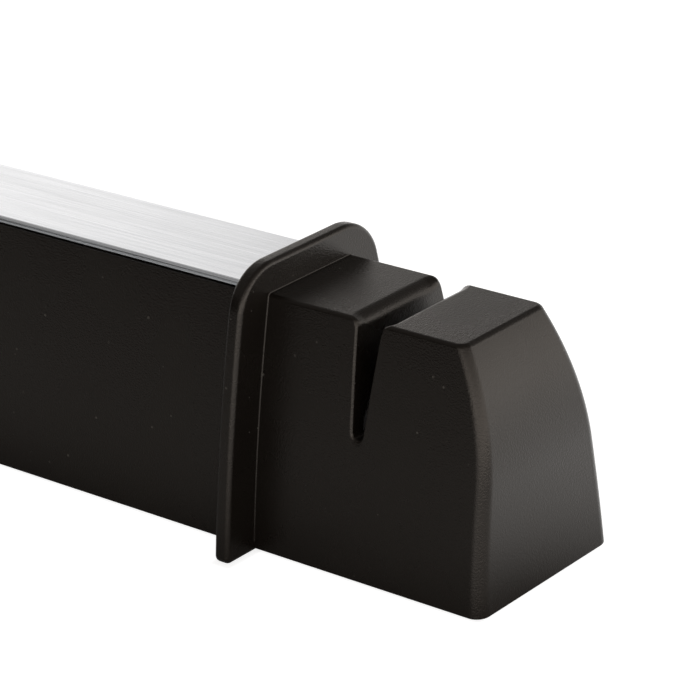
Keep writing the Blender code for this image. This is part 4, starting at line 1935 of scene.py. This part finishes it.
@dataclass(frozen=True)
class Patch:
    """A round, soft-edged part of the surroundings that is brighter or dimmer than the rest.

    Its angles are in degrees: the heading from +X, the rise over the horizon, and the radii
    inside which it is full and outside which it is gone.
    """

    heading: float
    rise: float
    inner: float
    outer: float
    level: float

    def draw(self, nodes: NodeTree, towards: NodeSocket) -> NodeSocket:
        """Works out what the patch adds to the level of the surroundings.

        Args:
            nodes: The tree it is worked out in.
            towards: A direction of length one.

        Returns:
            The level in the patch, fading to zero outside it.
        """
        heading, rise, inner, outer = map(
            math.radians, (self.heading, self.rise, self.inner, self.outer)
        )
        flat = math.cos(rise)
        middle = (flat * math.cos(heading), flat * math.sin(heading), math.sin(rise))
        facing = nodes.vector("DOT_PRODUCT", towards, middle)
        return nodes.span(facing, math.cos(outer), math.cos(inner), 0.0, self.level)


@dataclass
class Studio:
    """Camera, floor and soft light."""

    target: Vector = field(default_factory=lambda: Vector((61.0, 0.0, 35.9)))
    distance: float = 609.4
    yaw: float = math.radians(39.907)
    pitch: float = math.radians(22.819)
    roll: float = math.radians(-2.471)
    lens: float = 169.75
    sensor: float = 36.0
    clip: Span = (0.01, 50.0)
    floor_size: float = 12.0
    floor_glow: float = 0.93
    floor_paint: float = 0.42
    # Painted contact shadow: the floor's glow to the camera falls to this level within this reach of the
    # object's footprint.
    contact_glow: float = 0.8
    contact_reach: float = 0.0012
    # Painted shadow in the floor's mirrored glow: it rises from the near level over this reach, fainter
    # behind the object than in front.
    mirrored_reach: float = 0.045
    mirrored_rear: Span = (-0.01, 0.03)
    mirrored_contact: float = 0.45
    bright_side: Vector = field(default_factory=lambda: Vector((0.866, 0.5, 0.0)))
    bright_edge: Span = (-0.9, -0.5)
    around_level: float = 1.05
    front_level: float = 0.0
    front_rise: Span = (0.35, 0.6)
    overhead_level: float = 0.2
    overhead_rise: Span = (0.1, 0.7)
    key_side: Vector = field(default_factory=lambda: Vector((0.866, -0.5, 0.0)))
    key_edge: Span = (0.25, 0.75)
    key_level: float = 2.2
    # Painted reflection: the floor's glow in mirrored rays, bright all round, dim in front to the camera's
    # left, lower towards the camera's right.
    floor_level: float = 1.3
    front_floor_level: float = 0.2
    key_floor_level: float = -0.5
    patches: tuple[Patch, ...] = (
        Patch(165.0, 20.0, 30.7, 34.9, 0.46),
        Patch(110.0, 22.0, 16.7, 20.8, -0.4),
    )
    warmth: Colour = (1.0, 0.955, 0.915)
    white: Colour = (1.0, 1.0, 1.0)
    lamp_place: Vector = field(default_factory=lambda: Vector((0.7, 0.6, 0.22)))
    lamp_size: float = 0.5
    lamp_power: float = 1.0
    lamp_colour: Colour = (1.0, 0.97, 0.93)

    def camera(self) -> None:
        """Sets the camera where the photograph was taken from."""
        turn = (
            Matrix.Rotation(self.yaw, 4, "Z")
            @ Matrix.Rotation(math.pi / 2 - self.pitch, 4, "X")
            @ Matrix.Rotation(self.roll, 4, "Z")
        )
        back = turn.to_3x3() @ Vector((0.0, 0.0, 1.0))
        data = bpy.data.cameras.new("camera")
        data.lens = self.lens
        data.sensor_width = self.sensor
        data.clip_start, data.clip_end = self.clip
        camera = bpy.data.objects.new("camera", data)
        camera.matrix_world = Matrix.Translation((self.target + back * self.distance) * MM) @ turn
        bpy.context.scene.collection.objects.link(camera)
        bpy.context.scene.camera = camera

    def footprint(self, nodes: NodeTree, place: Node, middle: Point, half: Point) -> NodeSocket:
        """Measures how far the floor lies outside a rectangle.

        Args:
            nodes: The floor material's tree.
            place: The node with the floor's coordinates.
            middle: The rectangle's middle.
            half: Half its length and width.

        Returns:
            The distance in metres.
        """
        squares = []
        for name, centre, reach in zip("XY", middle, half):
            along = nodes.math("ABSOLUTE", nodes.math("SUBTRACT", place.outputs[name], centre * MM))
            beyond = nodes.math("MAXIMUM", nodes.math("SUBTRACT", along, reach * MM), 0.0)
            squares.append(nodes.math("MULTIPLY", beyond, beyond))
        return nodes.math("SQRT", nodes.math("ADD", *squares))

    def brightness(
        self, nodes: NodeTree, heading: NodeSocket, least: NodeSocket | float, most: float, key: float
    ) -> NodeSocket:
        """Gives the level of the surroundings, which are dim in front, to the camera's left.

        Args:
            nodes: The tree it is worked out in.
            heading: A direction of length one.
            least: The level where they are dim.
            most: The level elsewhere.
            key: What is added to the camera's right, which may be below zero.

        Returns:
            The level.
        """
        bright = nodes.vector("DOT_PRODUCT", heading, self.bright_side)
        near_key = nodes.vector("DOT_PRODUCT", heading, self.key_side)
        plain = nodes.span(bright, *self.bright_edge, least, most)
        return nodes.math("ADD", plain, nodes.span(near_key, *self.key_edge, 0.0, key))

    @staticmethod
    def seen(nodes: NodeTree) -> tuple[NodeSocket, NodeSocket]:
        """Tells how a ray reaches the surroundings.

        Args:
            nodes: The tree it is worked out in.

        Returns:
            Whether they are seen directly or through glass, and whether they are mirrored.
        """
        path = nodes.add("ShaderNodeLightPath").outputs
        direct = nodes.math("MAXIMUM", path["Is Camera Ray"], path["Is Transmission Ray"])
        return direct, path["Is Glossy Ray"]

    def floor_light(self, nodes: NodeTree) -> NodeSocket:
        """Works out how strongly the floor glows, with a painted contact shadow where the object stands on
        it.

        Args:
            nodes: The floor material's tree.

        Returns:
            The strength, for rays that see the floor and for rays that mirror it, where it is a painted
            reflection with a painted shadow near the object.
        """
        housing = Housing()
        shell = NodeBox.of("body_shell").size
        base = NodeBox.of("base_plate").size
        spot = nodes.place()
        place = nodes.add("ShaderNodeSeparateXYZ", Vector=spot)
        guard_middle = ((housing.guard_front + housing.guard_rear) / 2, 0.0)
        guard_half = (housing.guard_thickness / 2, shell.y / 2)
        away = nodes.math(
            "MINIMUM",
            self.footprint(nodes, place, (0.0, 0.0), (base.x / 2, base.y / 2)),
            self.footprint(nodes, place, guard_middle, guard_half),
        )
        direct, mirrored = self.seen(nodes)
        # Painted contact shadow: the glow the camera sees is dimmer close to the object's footprint.
        shadow = nodes.span(away, 0.0, self.contact_reach, self.contact_glow, self.floor_glow)
        corner = Vector((housing.half_length, -housing.width / 2, 0.0)) * MM
        heading = nodes.vector("NORMALIZE", nodes.vector("SUBTRACT", spot, corner))
        # Painted reflection of the floor, set by direction from the head's front corner.
        level = self.brightness(
            nodes, heading, self.front_floor_level, self.floor_level, self.key_floor_level
        )
        # Painted shadow near the object in the mirrored glow, fainter behind it.
        contact = nodes.span(place.outputs["Y"], *self.mirrored_rear, 0.0, self.mirrored_contact)
        painted_reflection_glow = nodes.math("MULTIPLY", level, nodes.span(away, 0.0, self.mirrored_reach, contact, 1.0))
        return nodes.math(
            "ADD", nodes.math("MULTIPLY", direct, shadow), nodes.math("MULTIPLY", mirrored, painted_reflection_glow)
        )

    def floor(self) -> None:
        """Lays a white floor, bright to the camera with a painted contact shadow where the object stands on
        it, and glowing as a painted reflection in mirrored rays.
        """
        bm = bmesh.new()
        bmesh.ops.create_grid(bm, x_segments=1, y_segments=1, size=self.floor_size / 2)
        floor = to_object("floor", bm)
        material = bpy.data.materials.new("floor_white")
        material.use_nodes = True
        tree = material.node_tree
        tree.nodes.remove(tree.nodes["Principled BSDF"])
        nodes = NodeTree(tree)
        glow = nodes.add("ShaderNodeEmission", Strength=self.floor_light(nodes))
        paint = nodes.add("ShaderNodeBsdfDiffuse", Color=(*[self.floor_paint] * 3, 1.0))
        both = nodes.add("ShaderNodeAddShader")
        for socket, shader in zip(both.inputs, (glow, paint)):
            nodes.feed(socket, shader.outputs[0])
        nodes.feed(tree.nodes["Material Output"].inputs["Surface"], both.outputs[0])
        floor.data.materials.append(material)

    def world(self) -> None:
        """Surrounds the object with a white backdrop that lights it warmly, and dimly from overhead."""
        world = bpy.data.worlds.new("studio")
        world.use_nodes = True
        bpy.context.scene.world = world
        nodes = NodeTree(world.node_tree)
        towards = nodes.add("ShaderNodeTexCoord").outputs["Generated"]
        height = nodes.add("ShaderNodeSeparateXYZ", Vector=towards).outputs["Z"]
        fading = nodes.span(height, *self.overhead_rise, 1.0, self.overhead_level)
        front = nodes.span(height, *self.front_rise, self.front_level, self.around_level)
        around = self.brightness(nodes, towards, front, self.around_level, self.key_level)
        for patch in self.patches:
            around = nodes.math("ADD", around, patch.draw(nodes, towards))
        bright = nodes.math("MULTIPLY", around, fading)
        direct, _ = self.seen(nodes)
        background = world.node_tree.nodes["Background"]
        nodes.feed(background.inputs["Color"], nodes.blend(direct, self.warmth, self.white))
        nodes.feed(background.inputs["Strength"], nodes.math("MAXIMUM", bright, direct))

    def lamp(self) -> None:
        """Hangs a square soft lamp behind the head."""
        data = bpy.data.lights.new("key", "AREA")
        data.size = self.lamp_size
        data.energy = self.lamp_power
        data.color = self.lamp_colour
        lamp = bpy.data.objects.new("key", data)
        lamp.location = self.lamp_place
        lamp.rotation_mode = "QUATERNION"
        lamp.rotation_quaternion = (self.target * MM - self.lamp_place).to_track_quat("-Z", "Y")
        lamp.visible_camera = False
        bpy.context.scene.collection.objects.link(lamp)

    def build(self) -> None:
        """Sets up the stage."""
        bpy.context.scene.view_settings.view_transform = "Standard"
        self.camera()
        self.floor()
        self.world()
        self.lamp()


def main() -> None:
    """Builds every part of the scene in order."""
    logging.basicConfig(level=logging.INFO, format="%(name)s: %(message)s")
    housing = Housing()
    for assembly in (Studio(), housing, Underside(housing), WheelSet(), Cradle()):
        assembly.build()


if __name__ == "__main__":
    main()
